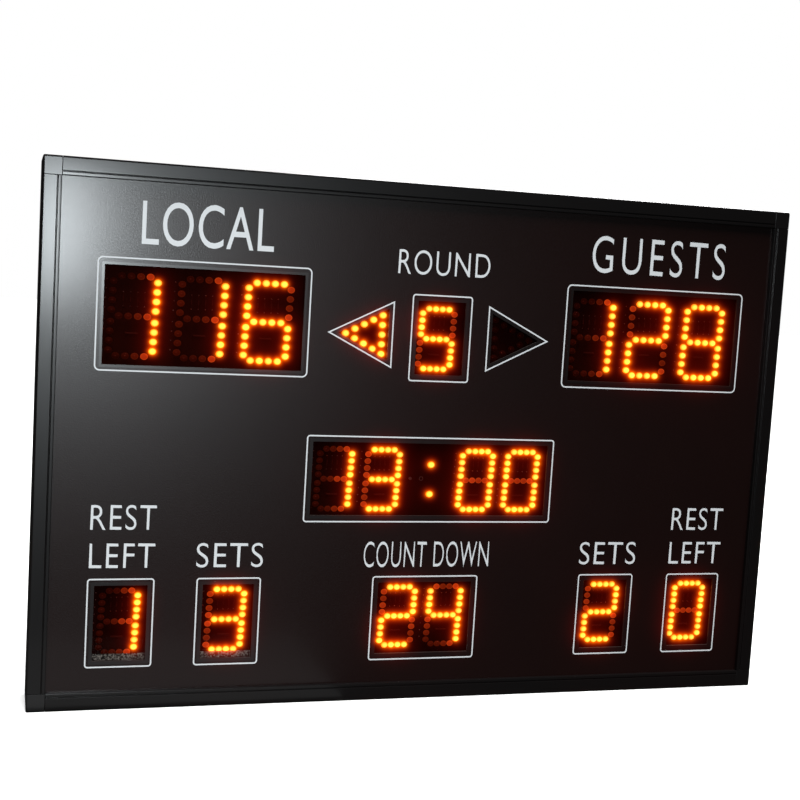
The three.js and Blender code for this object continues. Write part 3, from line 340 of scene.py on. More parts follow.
flat_rail_black = make_rail_finish("black rail, flat", (0.03, 1, 1))
upright_rail_black = make_rail_finish("black rail, upright", (1, 1, 0.03))
cap_black = make_finish(
    "black cap", black_tones, (0.40, 0.48), fine_grain, specular=0.70, coat=(0.66, 0.24),
)
panel_black = make_finish(
    "black film", ((0.0062, 0.0021, 0.0018), (0.0088, 0.0030, 0.0026)), (0.22, 0.52), (500, 0.20, 0.0008),
    coat=thin_coat,
)
print_white = make_finish(
    "white print", ((0.70, 0.73, 0.75), (0.76, 0.79, 0.81)), (0.5, 0.6), (600, 0.08, 0.0002), specular=0.2,
)
edge_grey = make_finish(
    "milled edge", ((0.0034, 0.0018, 0.0016), (0.007, 0.004, 0.0036)), (0.32, 0.40), fine_grain,
    specular=0.8, patch=120, coat=(0.5, 0.16),
)
cut_aluminium = make_finish(
    "cut aluminium", ((0.02, 0.016, 0.015), (0.05, 0.042, 0.04)), (0.3, 0.5), rough_grain,
    metallic=0.4, patch=300,
)
print("finishes of the front", len(bpy.data.materials))

# %% [markdown]
# The window is a sheet of dark red plastic that the lights shine through. It is smooth, so the soft box
# doesn't spread on it, and it is partly clear: its alpha lets the boards of lights show.

# %% Finish of the windows
tint_alpha = 0.22
red_tint = make_finish(
    "red tint", ((0.004, 0.0004, 0.0003), (0.006, 0.0006, 0.0005)), (0.02, 0.04), (60, 0.01, 0.0001),
    specular=0.22,
)
set_inputs(red_tint.node_tree.nodes["Principled BSDF"], {"Alpha": tint_alpha})
print("finish of the windows", red_tint.name)

# %% [markdown]
# A light that is on is brightest in the middle of its dome and turns orange at its rim. The mesh of each
# light carries a value called glow, which falls from 1 at the tip to 0 at the rim, and the finish turns
# that value into colour and strength. A light that is off is the same dome in dim amber plastic, with a
# weak painted glow: its emission, and a lighter base colour near lights that are on, stand in for the
# light that it catches from its neighbours. So each light carries a second value. It is a random tone for
# a light that is on, and a painted glow for a light that is off, which is higher near lights that are on.

# %% Finishes of the lights
seen_through_red = (1.0, 0.12, 0.07)


def make_light_finish(name, rim, core, strengths, shades, base):
    """rim and core are colours. The strength goes from rim to core, and again from the low to the high end
    of the second value, a random tone that is a painted glow for lights that are off. It also mixes the
    base.
    """
    material, shader = new_material(name, {
        "Roughness": 0.3, "Specular IOR Level": 0.3, "Specular Tint": (*seen_through_red, 1),
    })
    tree = material.node_tree
    glow = add_node(tree, "ShaderNodeAttribute", attribute_name="glow").outputs["Fac"]
    # The second value: a random tone, and for lights that are off a painted glow from the lit lights near
    # them.
    shade = add_node(tree, "ShaderNodeAttribute", attribute_name="shade").outputs["Fac"]
    strength = add_node(tree, "ShaderNodeMath", operation="MULTIPLY")
    link_nodes(
        tree,
        (mixed_colour(tree, shade, *base), shader.inputs["Base Color"]),
        (mixed_colour(tree, glow, rim, core), shader.inputs["Emission Color"]),
        (ramp_between(tree, glow, *strengths), strength.inputs[0]),
        (ramp_between(tree, shade, *shades), strength.inputs[1]),
        (strength.outputs[0], shader.inputs["Emission Strength"]),
    )
    return material


light_on = make_light_finish(
    "light on", (1.0, 0.15, 0.003), (1.0, 0.34, 0.05), (3.2, 4.8), (0.85, 1.1),
    ((0.5, 0.05, 0.01), (0.6, 0.08, 0.02)),
)
# Painted glow: lights that are off get a weak emission and a lighter base colour near lights that are on.
light_off = make_light_finish(
    "light off", (1.0, 0.085, 0.008), (1.0, 0.065, 0.008), (0.95, 0.70), (0.006, 1.0),
    ((0.02, 0.002, 0.001), (0.06, 0.006, 0.003)),
)
board_black = make_finish(
    "light board", ((0.010, 0.0012, 0.0005), (0.018, 0.0022, 0.0009)), (0.4, 0.6), (500, 0.2, 0.0003),
    patch=60, specular=0.1, tint=seen_through_red,
)
part_dark = make_finish(
    "board part", ((0.03, 0.004, 0.003), (0.06, 0.008, 0.005)), (0.45, 0.6), (800, 0.1, 0.0002),
    patch=200, specular=0.2, tint=seen_through_red,
)
solder_bright = make_finish(
    "solder", ((0.30, 0.10, 0.09), (0.42, 0.15, 0.13)), (0.3, 0.45), faint_grain, metallic=0.8,
)
print("finishes of the lights", light_on.name, "and", light_off.name)

# %% [markdown]
# Two windows have a strip of rough, dusty tape. The noise's range is stretched in its finish, so that only
# the peaks of the noise become light specks.

# %% Finish of the tape
tape_black = (0.006, 0.0055, 0.005)
dust = (0.15, 0.135, 0.12)
speck_scale = 430
speck_range = (-1.45, 2.0)


def make_tape_finish():
    tape = make_finish("rough tape", (tape_black, dust), (0.7, 0.9), (600, 0.3, 0.0005), specular=0.1)
    tree = tape.node_tree
    specks = ramp_between(tree, noise_at(tree, speck_scale, detail=1), *speck_range)
    colour = mixed_colour(tree, specks, tape_black, dust)
    tree.links.new(colour, tree.nodes["Principled BSDF"].inputs["Base Color"])
    return tape


rough_tape = make_tape_finish()
print("finish of the tape", rough_tape.name)

# %% [markdown]
# Behind the panel are painted steel, galvanised steel, bright plated parts, moulded plastic, cable
# jackets, a grey ribbon and a green circuit board. They use the same helpers with other numbers.

# %% Finishes of the rear and the inside
steel_black = make_finish(
    "powder coat", ((0.017, 0.017, 0.018), (0.026, 0.026, 0.027)), (0.42, 0.58), (1100, 0.35, 0.0004),
)
steel_galvanised = make_finish(
    "galvanised steel", ((0.34, 0.35, 0.36), (0.52, 0.53, 0.55)), (0.30, 0.48), (260, 0.12, 0.0003),
    metallic=0.9, patch=70,
)
steel_bright = make_finish(
    "bright plating", ((0.52, 0.52, 0.54), (0.66, 0.66, 0.68)), (0.20, 0.34), faint_grain,
    metallic=1.0, patch=120,
)
plastic_black = make_finish(
    "moulded plastic", ((0.014, 0.014, 0.015), (0.024, 0.024, 0.025)), (0.38, 0.52), (1400, 0.22, 0.0003),
)
jacket_black = make_finish(
    "cable jacket", ((0.012, 0.012, 0.012), (0.022, 0.022, 0.022)), (0.5, 0.65), rough_grain,
)
ribbon_grey = make_finish(
    "grey ribbon", ((0.24, 0.25, 0.26), (0.34, 0.35, 0.36)), (0.5, 0.65), (700, 0.25, 0.0004),
)
mask_green = make_finish(
    "green circuit board", ((0.010, 0.085, 0.035), (0.018, 0.14, 0.06)), (0.32, 0.5), (600, 0.2, 0.0003),
    patch=150,
)
brass_plated = make_finish(
    "brass", ((0.55, 0.38, 0.13), (0.68, 0.48, 0.20)), (0.22, 0.36), faint_grain, metallic=1.0,
)
print("finishes", len(bpy.data.materials))

# %% [markdown]
# ## Modelling by hand, in code
# Every new piece starts as a primitive and is shaped in edit mode. The operators act on what is selected,
# so these helpers choose points, edges or faces by their place, push a selection out, and cut bands. A face
# counts as facing a way when nine tenths of its normal point there, and two places are the same when they
# are less than 0.02 mm apart.

# %% Helpers for modelling
facing = 0.9
same_place = 0.02 * MM
softening_angle = 35
softening_steps = 2


def to_object_mode():
    if bpy.context.object and bpy.context.object.mode != "OBJECT":
        bpy.ops.object.mode_set(mode="OBJECT")


def only(piece):
    to_object_mode()
    bpy.ops.object.select_all(action="DESELECT")
    piece.select_set(True)
    bpy.context.view_layer.objects.active = piece


def join_to(piece, others):
    only(piece)
    for other in others:
        other.select_set(True)
    bpy.ops.object.join()


def apply_place():
    """Puts the place, the turn and the scale of what is selected into its mesh."""
    bpy.ops.object.transform_apply(location=True, rotation=True, scale=True)


def add_block(name, low, high):
    """A block between two corners."""
    low, high = Vector(low), Vector(high)
    bpy.ops.mesh.primitive_cube_add(size=1, location=(low + high) / 2, scale=high - low)
    apply_place()
    bpy.context.object.name = name
    return bpy.context.object


def pick(piece, kind, test):
    """Goes into edit mode with only the points, edges or faces selected that pass the test."""
    only(piece)
    mesh = piece.data
    for items in (mesh.vertices, mesh.edges, mesh.polygons):
        items.foreach_set("select", [False] * len(items))
    for face in mesh.polygons if kind == "FACE" else ():
        face.select = test(face.center, face.normal)
    for edge in mesh.edges if kind == "EDGE" else ():
        edge.select = test(*(mesh.vertices[i].co for i in edge.vertices))
    for point in mesh.vertices if kind == "VERT" else ():
        point.select = test(point.co)
    bpy.context.tool_settings.mesh_select_mode = tuple(kind == k for k in ("VERT", "EDGE", "FACE"))
    bpy.ops.object.mode_set(mode="EDIT")


def everything(*parts):
    """A test for pick that lets all pass."""
    return True


def edit(piece, kind, test, operator, **options):
    """Runs one operator on what passes the test."""
    pick(piece, kind, test)
    operator(**options)
    to_object_mode()


def slice_at(piece, point, direction):
    """Cuts all faces along a plane and keeps both sides, so that a band can be picked."""
    edit(piece, "FACE", everything, bpy.ops.mesh.bisect, plane_co=point, plane_no=direction)


def push(offset):
    """Extrudes what is selected."""
    bpy.ops.mesh.extrude_region_move(TRANSFORM_OT_translate={"value": offset})
    to_object_mode()


def near(a, b, reach=same_place):
    return abs(a - b) < reach


def use_modifier(piece, name, kind, **options):
    """Adds a modifier to the active piece, sets its options and applies it."""
    modifier = piece.modifiers.new(name, kind)
    set_options(modifier, options)
    bpy.ops.object.modifier_apply(modifier=modifier.name)


def soften(piece, width, angle=softening_angle):
    """Rounds the sharp edges a little, as real edges are. Weighted normals keep the flat faces flat."""
    only(piece)
    bpy.ops.object.shade_smooth_by_angle(angle=math.radians(angle))
    use_modifier(
        piece, "soft edges", "BEVEL", width=width, segments=softening_steps, limit_method="ANGLE",
        angle_limit=math.radians(angle), use_clamp_overlap=True,
    )
    use_modifier(piece, "flat faces", "WEIGHTED_NORMAL", keep_sharp=True)


def cut_away(piece, cutter):
    """Takes the cutter's volume out of the piece and then removes the cutter."""
    only(piece)
    use_modifier(piece, "opening", "BOOLEAN", object=cutter, operation="DIFFERENCE", solver="EXACT")
    bpy.data.objects.remove(cutter)


def settle(piece, finish, slot, *nodes, body="board"):
    """Puts a piece's place in its mesh, and gives it its finish and its body. The slot is not used."""
    only(piece)
    apply_place()
    piece.data.materials.clear()
    piece.data.materials.append(finish)
    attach(piece, body)
    if nodes:
        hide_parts(*nodes)
    return piece


print("helpers ready")

# %% [markdown]
# ## Rails
# The frame is one aluminium section: a rounded outer edge, a face with a thin groove, and a lip that holds
# the panel. We shape a block as the bottom rail. One bevel rounds the outer edge and another takes off the
# lip's edge, which draws a dark line beside the panel. Slices mark the groove, the panel's slot and the
# hollow behind it, and each band is then pushed in. The groove's floor is made narrow, so that its walls
# slope and it looks dark. The other rails are the same model with another length, turned about the middle
# of the board.

# %% Model the four rails
rounding = 3 * MM
rounding_steps = 4
lip_chamfer = 1.1 * MM
lip_steps = 2
groove_start = 20.2 * MM
groove_end = 22.2 * MM
groove_depth = 1.6 * MM
groove_reach = 0.5 * MM
groove_floor_share = 0.45
lip_depth = 6 * MM
slot_reach = 4 * MM
slot_back = panel_back + 0.3 * MM
nose_back = slot_back + 2.8 * MM
rail_wall = 2.5 * MM
flange_step = 9 * MM
rail_softness = 0.35 * MM


def bevel_front_edge(piece, edge_z, width, steps):
    def on_edge(a, b):
        return all(near(p.z, edge_z) and near(p.y, rail_front) for p in (a, b))

    edit(piece, "EDGE", on_edge, bpy.ops.mesh.bevel, offset=width, segments=steps, affect="EDGES")


def press_groove(piece, outer):
    for level in (groove_start, groove_end):
        slice_at(piece, (0, 0, outer + level), (0, 0, 1))
    middle = outer + (groove_start + groove_end) / 2

    def on_groove(c, n):
        return n.y < -facing and near(c.z, middle, groove_reach) and near(c.y, rail_front)

    pick(piece, "FACE", on_groove)
    push((0, groove_depth, 0))
    bpy.ops.object.mode_set(mode="EDIT")
    bottom = (0, rail_front + groove_depth, middle)
    bpy.ops.transform.resize(value=(1, 1, groove_floor_share), center_override=bottom)
    to_object_mode()


def press_channels(piece, inner):
    depths = [rail_front + lip_depth, slot_back, nose_back, rail_back - rail_wall]
    for depth in depths:
        slice_at(piece, (0, depth, 0), (0, 1, 0))

    def band(low, high):
        return lambda c, n: n.z > facing and near(c.z, inner) and low < c.y < high

    pick(piece, "FACE", band(depths[0], depths[1]))
    push((0, 0, -slot_reach))
    pick(piece, "FACE", band(depths[2], depths[3]))
    push((0, 0, -(rail_face - rail_wall)))
    flange = band(depths[3], rail_back)
    edit(piece, "FACE", flange, bpy.ops.transform.translate, value=(0, 0, -flange_step))


def make_rail(name, reach, turn, finish):
    """reach is from the board's middle to the rail's outer edge, and turn is about the Y axis."""
    low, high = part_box(name)
    half = max(high.x - low.x, high.z - low.z) / 2
    outer, inner = -reach, rail_face - reach
    rail = add_block(name + "_skin", (-half, rail_front, outer), (half, rail_back, inner))
    bevel_front_edge(rail, outer, rounding, rounding_steps)
    bevel_front_edge(rail, inner, lip_chamfer, lip_steps)
    press_groove(rail, outer)
    press_channels(rail, inner)
    soften(rail, rail_softness)
    rail.rotation_euler = (0, turn, 0)
    rail.location = board_centre
    return settle(rail, finish, "frame_black", name)


half_height = board_height / 2
quarter = math.pi / 2
rails = [
    make_rail("bottom_rail", half_height, 0, flat_rail_black),
    make_rail("left_rail", half_width, quarter, upright_rail_black),
    make_rail("top_rail", half_height, 2 * quarter, flat_rail_black),
    make_rail("right_rail", half_width, 3 * quarter, upright_rail_black),
]
print("rails", [len(r.data.polygons) for r in rails])

# %% [markdown]
# ## Corner caps
# A moulded cap closes each corner. A block is the start, and the three edges that meet at its outer corner
# are rounded together. It is hollow, so blocks are then cut away with Boolean modifiers: the panel's slot,
# the hollow behind the panel, and a notch for the rear sheet. One cap is turned into all four corners.

# %% Model the four corner caps
cap_softness = 0.5 * MM
beyond = MM


def make_cap(name, side, level, turn):
    """The cap is drawn for the lower left corner, with that corner at the origin."""
    cap = add_block(name + "_skin", (0, rail_front, 0), (rail_face, rail_back, rail_face))
    corner = (0, rail_front, 0)

    def is_outer(a, b):
        return sum(near(a[i], corner[i]) and near(b[i], corner[i]) for i in range(3)) == 2

    edit(
        cap, "EDGE", is_outer, bpy.ops.mesh.bevel, offset=rounding, segments=rounding_steps,
        affect="EDGES",
    )
    far = rail_face + beyond
    for start, front, back in (
        (rail_face - slot_reach, rail_front + lip_depth, slot_back),
        (rail_wall, nose_back, rail_back - rail_wall),
        (rail_face - flange_step, nose_back, rail_back + beyond),
    ):
        cut_away(cap, add_block("cutter", (start, front, start), (far, back, far)))
    soften(cap, cap_softness)
    cap.rotation_euler = (0, turn, 0)
    cap.location = (side * half_width, 0, level)
    return settle(cap, cap_black, "cap_black", name)


caps = [
    make_cap("lower_left_cap", -1, 0, 0),
    make_cap("upper_left_cap", -1, board_height, quarter),
    make_cap("upper_right_cap", 1, board_height, 2 * quarter),
    make_cap("lower_right_cap", 1, 0, 3 * quarter),
]
print("caps", [len(c.data.polygons) for c in caps])

# %% [markdown]
# ## Windows
# Behind each opening in the panel is a tinted sheet that is a little larger than the opening. So the frame
# tells us every window: it is the sheet's box less that margin. Arrows have a triangular window. A board
# of lights is never quite centred behind its window, and neither is the printed line around it, so each
# window also has two small shifts, in millimetres across and upwards. The panel's sheet reaches a little
# into each window, by its inset.

# %% Find the windows
window_margin = 10 * MM
insets = {"large": 1.1 * MM, "small": 2.2 * MM, "arrow": 1.2 * MM}


class Window:
    """A window's place and what it shows. An arrow points to its side, which is -1 or 1."""

    def __init__(self, name, figures, kind, shift=(0, 0), print_shift=(0, 0), side=0):
        low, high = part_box(name + "_lens")
        self.name, self.figures, self.kind, self.side = name, figures, kind, side
        self.inset = insets[kind]
        self.shift = Vector((shift[0] * MM, 0, shift[1] * MM))
        self.print_shift = Vector((print_shift[0] * MM, 0, print_shift[1] * MM))
        self.low = Vector((low.x + window_margin, 0, low.z + window_margin))
        self.high = Vector((high.x - window_margin, 0, high.z - window_margin))
        self.middle = (self.low + self.high) / 2
        self.width = self.high.x - self.low.x
        self.height = self.high.z - self.low.z


figure_windows = [
    Window("left_score", "116", "large", (-4.2, -1.5), (-0.2, 0.9)),
    Window("right_score", "128", "large", (-4.3, -2.3), (-0.7, -0.9)),
    Window("period", "5", "small", (-2.2, -1.4), (0.4, -0.2)),
    Window("clock", "13:00", "small", (0.3, -2.1), (0, -0.3)),
    Window("left_timeout", "1", "small", (-1.2, -0.6), (-0.4, 0.3)),
    Window("left_foul", "3", "small", (-0.8, -0.2), (0.1, 0.1)),
    Window("shot_clock", "24", "small", (-0.4, -0.3)),
    Window("right_foul", "2", "small", (0.2, 0), (-0.8, -0.3)),
    Window("right_timeout", "0", "small", (0.6, -0.2), (-0.6, -0.7)),
]
arrow_windows = [
    Window("left_arrow", "", "arrow", (4.3, -1), side=-1),
    Window("right_arrow", "", "arrow", side=1),
]
for window in figure_windows + arrow_windows:
    print(window.name, round(window.width, 4), "by", round(window.height, 4))

# %% [markdown]
# ## Front panel
# The panel is one sheet of aluminium. Cutting blocks stand where the openings are, and a Boolean modifier
# takes them away from the sheet. The arrows' cutters are cylinders of three sides, stretched to the
# triangle. A small bevel then rounds every cut edge, and it is what catches the light around the windows.

# %% Model the front panel
panel_softness = 0.3 * MM
cut_facing = 0.5


def add_triangle(name, window, front, back, growth):
    """A block with an arrow's outline, which growth moves outwards."""
    side = window.side
    base, tip = (window.low.x, window.high.x) if side > 0 else (window.high.x, window.low.x)
    length = abs(tip - base)
    half = window.height / 2
    slant = math.hypot(length, half)
    half_growth = growth * (slant + half) / length
    base -= side * growth
    tip += side * growth * slant / half
    bpy.ops.mesh.primitive_cylinder_add(vertices=3, radius=1, depth=1)
    piece = bpy.context.object
    piece.name = name
    points = [v.co.copy() for v in piece.data.vertices]
    lowest, highest = min(p.y for p in points), max(p.y for p in points)
    widest = max(p.x for p in points)
    for vertex, point in zip(piece.data.vertices, points):
        along = (point.y - lowest) / (highest - lowest)
        across = point.x / widest
        vertex.co = (
            base + along * (tip - base),
            front if point.z > 0 else back,
            window.middle.z - side * across * (half + half_growth),
        )
    return piece


def make_panel():
    low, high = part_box("front_panel")
    panel = add_block("front_panel_skin", low, high)
    front, back = low.y - beyond, high.y + beyond
    for window in figure_windows:
        corner = (window.low.x + window.inset, front, window.low.z + window.inset)
        far_corner = (window.high.x - window.inset, back, window.high.z - window.inset)
        cut_away(panel, add_block("cutter", corner, far_corner))
    for window in arrow_windows:
        cut_away(panel, add_triangle("cutter", window, front, back, -window.inset))
    soften(panel, panel_softness)
    settle(panel, panel_black, "panel_black", "front_panel")
    panel.data.materials.append(cut_aluminium)
    for face in panel.data.polygons:
        if abs(face.normal.y) < cut_facing:
            face.material_index = 1
    return panel


front_panel = make_panel()
print("front panel", len(front_panel.data.polygons), "faces")

# %% [markdown]
# ## Printed outlines and milled edges
# A white line is printed around each window. On the real board it is ink on the film, so it is a thin skin
# here: a plane whose corners are bevelled and whose middle is removed after an inset, then thickened. The
# film stops a little short of each opening, where the milled edge of the sheet shows as a dull grey band.
# That band is made in the same way, with sharp corners.

# %% Print the outlines and mill the edges
ink = 0.12 * MM
line_width = 2.1 * MM
edge_reach = 2.8 * MM
edge_height = 0.2 * MM
outline_reaches = {"large": 9.4 * MM, "small": 8.2 * MM, "arrow": 6.5 * MM}
outline_corners = {"large": 8 * MM, "small": 5 * MM, "arrow": 0}
corner_steps = 6


def thicken(piece, thickness=ink):
    only(piece)
    use_modifier(piece, "thickness", "SOLIDIFY", thickness=thickness, offset=1)


def make_band(window, label, reach, width, thickness, finish, corner=0, shift=Vector()):
    """A flat band around a window. reach is from the window's edge to the band's outer edge."""
    name = window.name + label
    if window.side:
        band = add_triangle(name, window, panel_front - thickness, panel_front, reach)
        front, back = panel_front - beyond, panel_front + beyond
        cut_away(band, add_triangle("cutter", window, front, back, reach - width))
        return settle(band, finish, "panel_black")
    bpy.ops.mesh.primitive_plane_add(size=1, rotation=(quarter, 0, 0))
    band = bpy.context.object
    band.name = name
    band.scale = (window.width + 2 * reach, window.height + 2 * reach, 1)
    band.location = (window.middle.x + shift.x, panel_front, window.middle.z + shift.z)
    apply_place()
    if corner:
        edit(
            band, "VERT", everything, bpy.ops.mesh.bevel, offset=corner, segments=corner_steps,
            affect="VERTICES",
        )
    pick(band, "FACE", everything)
    bpy.ops.mesh.inset(thickness=width)
    bpy.ops.mesh.delete(type="FACE")
    thicken(band, thickness)
    return settle(band, finish, "panel_black")


bands = []
for window in figure_windows + arrow_windows:
    reach, corner = outline_reaches[window.kind], outline_corners[window.kind]
    edge_width = edge_reach + window.inset - panel_softness
    bands += [
        make_band(window, "_outline", reach, line_width, ink, print_white, corner, window.print_shift),
        make_band(window, "_edge", edge_reach, edge_width, edge_height, edge_grey),
    ]
print("outlines and edges", len(bands))

# %% [markdown]
# ## Legends
# Plain words say what each window shows. They are text objects in the built-in typeface, turned into a
# mesh and squeezed to the width that the board has for them. The board's letters have thinner strokes than
# this typeface, so every point is then moved inwards along its normal. The numbers are the gap between the
# window and the letters' feet, the letters' height and the words' width.

# %% Print the legends
capital_share = 0.682
curve_steps = 6
usual_spacing, close_spacing, wide_spacing = 1.1, 1.05, 1.25
large_thinning, right_thinning, small_thinning = 0.002, 0.022, 0.026


def print_legend(name, words, gap, height, width, spacing=usual_spacing, thinning=small_thinning):
    """The legend's name begins with its window's name, and thinning is a share of the height."""
    window = next(w for w in figure_windows if name.startswith(w.name))
    bpy.ops.object.text_add(rotation=(quarter, 0, 0))
    legend = bpy.context.object
    legend.name = name + "_legend"
    text = legend.data
    text.body = words
    text.size = height / capital_share
    text.space_character = spacing
    text.resolution_u = curve_steps
    bpy.ops.object.convert(target="MESH")
    apply_place()
    across = [v.co.x for v in legend.data.vertices]
    left, right = min(across), max(across)
    narrowing = width / (right - left)
    legend.scale = (narrowing, 1, 1)
    middle = window.middle.x - (left + right) / 2 * narrowing
    legend.location = (middle, panel_front, window.high.z + gap)
    apply_place()
    thicken(legend)
    for vertex in legend.data.vertices:
        vertex.co -= thinning * height * Vector((vertex.normal.x, 0, vertex.normal.z))
    print(name, words, "narrowed to", round(narrowing, 2))
    return settle(legend, print_white, "panel_black")


small_letters = 37 * MM
line_pitch = 56.9 * MM
lower_gap = 24.1 * MM
upper_gap = lower_gap + line_pitch
legends = [
    print_legend("left_score", "LOCAL", 30.5 * MM, 61.5 * MM, 194 * MM, close_spacing, large_thinning),
    print_legend("right_score", "GUESTS", 29.5 * MM, 58 * MM, 240 * MM, wide_spacing, right_thinning),
    print_legend("period", "ROUND", 37.6 * MM, small_letters, 150 * MM),
    print_legend("shot_clock", "COUNT DOWN", 22.2 * MM, 40.5 * MM, 208 * MM, close_spacing),
]
for side in ("left", "right"):
    legends += [
        print_legend(side + "_foul", "SETS", lower_gap, small_letters, 102 * MM),
        print_legend(side + "_timeout_upper", "REST", upper_gap, small_letters, 96 * MM),
        print_legend(side + "_timeout_lower", "LEFT", lower_gap, small_letters, 96 * MM),
    ]
print("legends", len(legends))

# %% [markdown]
# ## Lights
# A figure has seven bars of four round lights, called a to f clockwise from the top and g in the middle.
# The lights' places are shares of the window, as the boards are made to fit it: across, of the distance
# between a figure's two columns, and upwards, of the window's height. The figures lean a little to the
# right.

# %% Work out where the lights are
lean = math.tan(math.radians(2.5))
bar_lights = 4
shares_of = {
    "large": {"radius": 5.0 * MM, "margin": 17 * MM, "advance": 1.555, "across": 0.2156,
              "pitch": 0.0952, "middle": 0.1172, "row": 0.3986},
    "small": {"radius": 4.6 * MM, "margin": 15.1 * MM, "advance": 1.518, "across": 0.2118,
              "pitch": 0.0919, "middle": 0.114, "row": 0.3949},
}
colon_gap_share = 1.541
colon_rise_share = 0.1983
colon_shift = (2.2 * MM, -1.4 * MM)
arrow_diagonal = 5
arrow_shares = {"start": 0.157, "pitch": 0.1755, "rise": 0.181}
bars_of = {
    "0": "abcdef", "1": "bc", "2": "abged", "3": "abgcd", "4": "fgbc",
    "5": "afgcd", "6": "afgedc", "7": "abc", "8": "abcdefg", "9": "abcdfg",
}


def figure_lights(shares, span, height):
    """Yields each light of one figure as its bar, its place across and its rise."""
    row = shares["row"] * height
    for i in range(bar_lights):
        rise = (shares["middle"] / 2 + i * shares["pitch"]) * height
        across = (i - (bar_lights - 1) / 2) * shares["across"] * span
        for bar, x, z in (
            ("f", -span / 2, rise), ("e", -span / 2, -rise), ("b", span / 2, rise), ("c", span / 2, -rise),
            ("a", across, row), ("g", across, 0), ("d", across, -row),
        ):
            yield bar, x + z * lean, z


def figure_places(window, shares):
    """Each figure with its middle across the window, and the distance between a figure's columns."""
    digits = window.figures.replace(":", "")
    colon = ":" in window.figures
    spans = 1 + (len(digits) - 1) * shares["advance"] + (colon_gap_share if colon else 0)
    span = (window.width - 2 * shares["margin"]) / spans
    places = []
    for i, digit in enumerate(digits):
        place = i - (len(digits) - 1) / 2
        gap = math.copysign(colon_gap_share * span / 2, place) if colon else 0
        places.append((digit, window.middle.x + window.shift.x + place * shares["advance"] * span + gap))
    return places, span


def lights_of(window):
    """Yields each light of a window's figures as its figure, its bar and its place."""
    shares = shares_of[window.kind]
    places, span = figure_places(window, shares)
    level = window.middle.z + window.shift.z
    for digit, middle in places:
        for bar, x, z in figure_lights(shares, span, window.height):
            yield digit, bar, middle + x, level + z


def window_lights(window):
    """The places of a window's lights, those that are on and those that are off."""
    on, off = [], []
    for digit, bar, x, z in lights_of(window):
        (on if bar in bars_of[digit] else off).append((x, z))
    return on, off


def clock_place(window, shift):
    """A place beside the clock's middle, in a list. The other windows have none."""
    return [(window.middle.x + shift[0], window.middle.z + shift[1])] if ":" in window.figures else []


def colon_lights(window):
    rise = colon_rise_share * window.height
    return [(x, z + end * rise) for x, z in clock_place(window, colon_shift) for end in (1, -1)]


def arrow_lights(window):
    """Two diagonals from the tip, and the lights that close the arrow's base."""
    side = window.side
    tip = window.high.x if side > 0 else window.low.x
    last = arrow_diagonal - 1
    steps = [(i, j) for i in range(arrow_diagonal) for j in {i, -i}]
    steps += [(last, j) for j in (-last / 2, 0, last / 2)]
    start = tip + window.shift.x - side * arrow_shares["start"] * window.width
    level = window.middle.z + window.shift.z
    pitch = side * arrow_shares["pitch"] * window.width
    rise = arrow_shares["rise"] * window.height / 2
    return [(start - i * pitch, level + j * rise) for i, j in steps]


for window in figure_windows:
    on, off = window_lights(window)
    print(window.name, len(on), "lights on and", len(off), "off")

# %% [markdown]
# One light is modelled once: a small sphere whose rear half is cut off, flattened to a dome, with its rim
# pulled back as a barrel. The real lights are a little broader than high, so that they shine to the sides.
# The model is copied to each place, and the copies of one board are joined. Each copy stores its glow,
# which falls from the tip to the rim, and a second value of its own: a random tone, which for a light
# that is off is a painted glow from all lights near it that are on.

# %% Model the lights
light_sides, light_rings = 12, 8
light_tip = rail_front + 16.5 * MM
board_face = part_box("clock_lights")[1].y - 1.6 * MM
dome_share = 0.72
light_breadth = 1.16
glow_fall = 3
# How far the painted glow of lights that are off reaches from lit lights, how steeply it falls, and how
# much chance lessens it.
painted_glow_reach = 14 * MM
painted_glow_fall = 4
painted_glow_spread = 0.4
draw = random.Random(7)


def model_light(radius):
    bpy.ops.mesh.primitive_uv_sphere_add(
        segments=light_sides, ring_count=light_rings, radius=radius, rotation=(quarter, 0, 0),
    )
    light = bpy.context.object
    apply_place()
    edit(
        light, "FACE", everything, bpy.ops.mesh.bisect, plane_co=(0, 0, 0), plane_no=(0, 1, 0),
        clear_outer=True,
    )
    edit(light, "VERT", everything, bpy.ops.transform.resize, value=(1, dome_share, 1))
    dome_back = light_tip + dome_share * radius
    pick(light, "EDGE", lambda a, b: near(a.y, 0) and near(b.y, 0))
    push((0, board_face - dome_back, 0))
    light.data.transform(Matrix.Translation((0, dome_back, 0)))
    bpy.ops.object.shade_smooth()
    glow = light.data.attributes.new("glow", "FLOAT", "POINT")
    for i, vertex in enumerate(light.data.vertices):
        distance = math.hypot(vertex.co.x, vertex.co.z) / radius
        glow.data[i].value = max(0.0, 1 - distance ** glow_fall)
        vertex.co.x *= light_breadth
    return light


def closeness(x, z, places):
    """Is 1 for a light beside some that are on, and falls towards 0 with the distance. It sets the painted
    glow of a light that is off.
    """
    return min(1.0, sum((painted_glow_reach / math.hypot(x - a, z - b)) ** painted_glow_fall for a, b in places))


def copies_joined(name, model, places, lit=None):
    """Copies the model to each place, gives each copy a random tone of its own, and joins them. lit are the
    places of the lights that are on; when it is given, the tone becomes a painted glow that grows near
    them."""
    copies = []
    for x, z in places:
        copy = model.copy()
        copy.data = model.data.copy()
        copy.data.transform(Matrix.Translation((x, 0, z)))
        shade = draw.random()
        # A random tone, which for lights that are off becomes a painted glow from the lit lights near them.
        if lit is not None:
            shade = closeness(x, z, lit) * (1 - painted_glow_spread * shade)
        shades = copy.data.attributes.new("shade", "FLOAT", "POINT")
        shades.data.foreach_set("value", [shade] * len(copy.data.vertices))
        scene.collection.objects.link(copy)
        copies.append(copy)
    join_to(copies[0], copies)
    copies[0].name = name
    return copies[0]


light_models = {kind: model_light(shares["radius"]) for kind, shares in shares_of.items()}
print("one light has", len(light_models["large"].data.polygons), "faces")

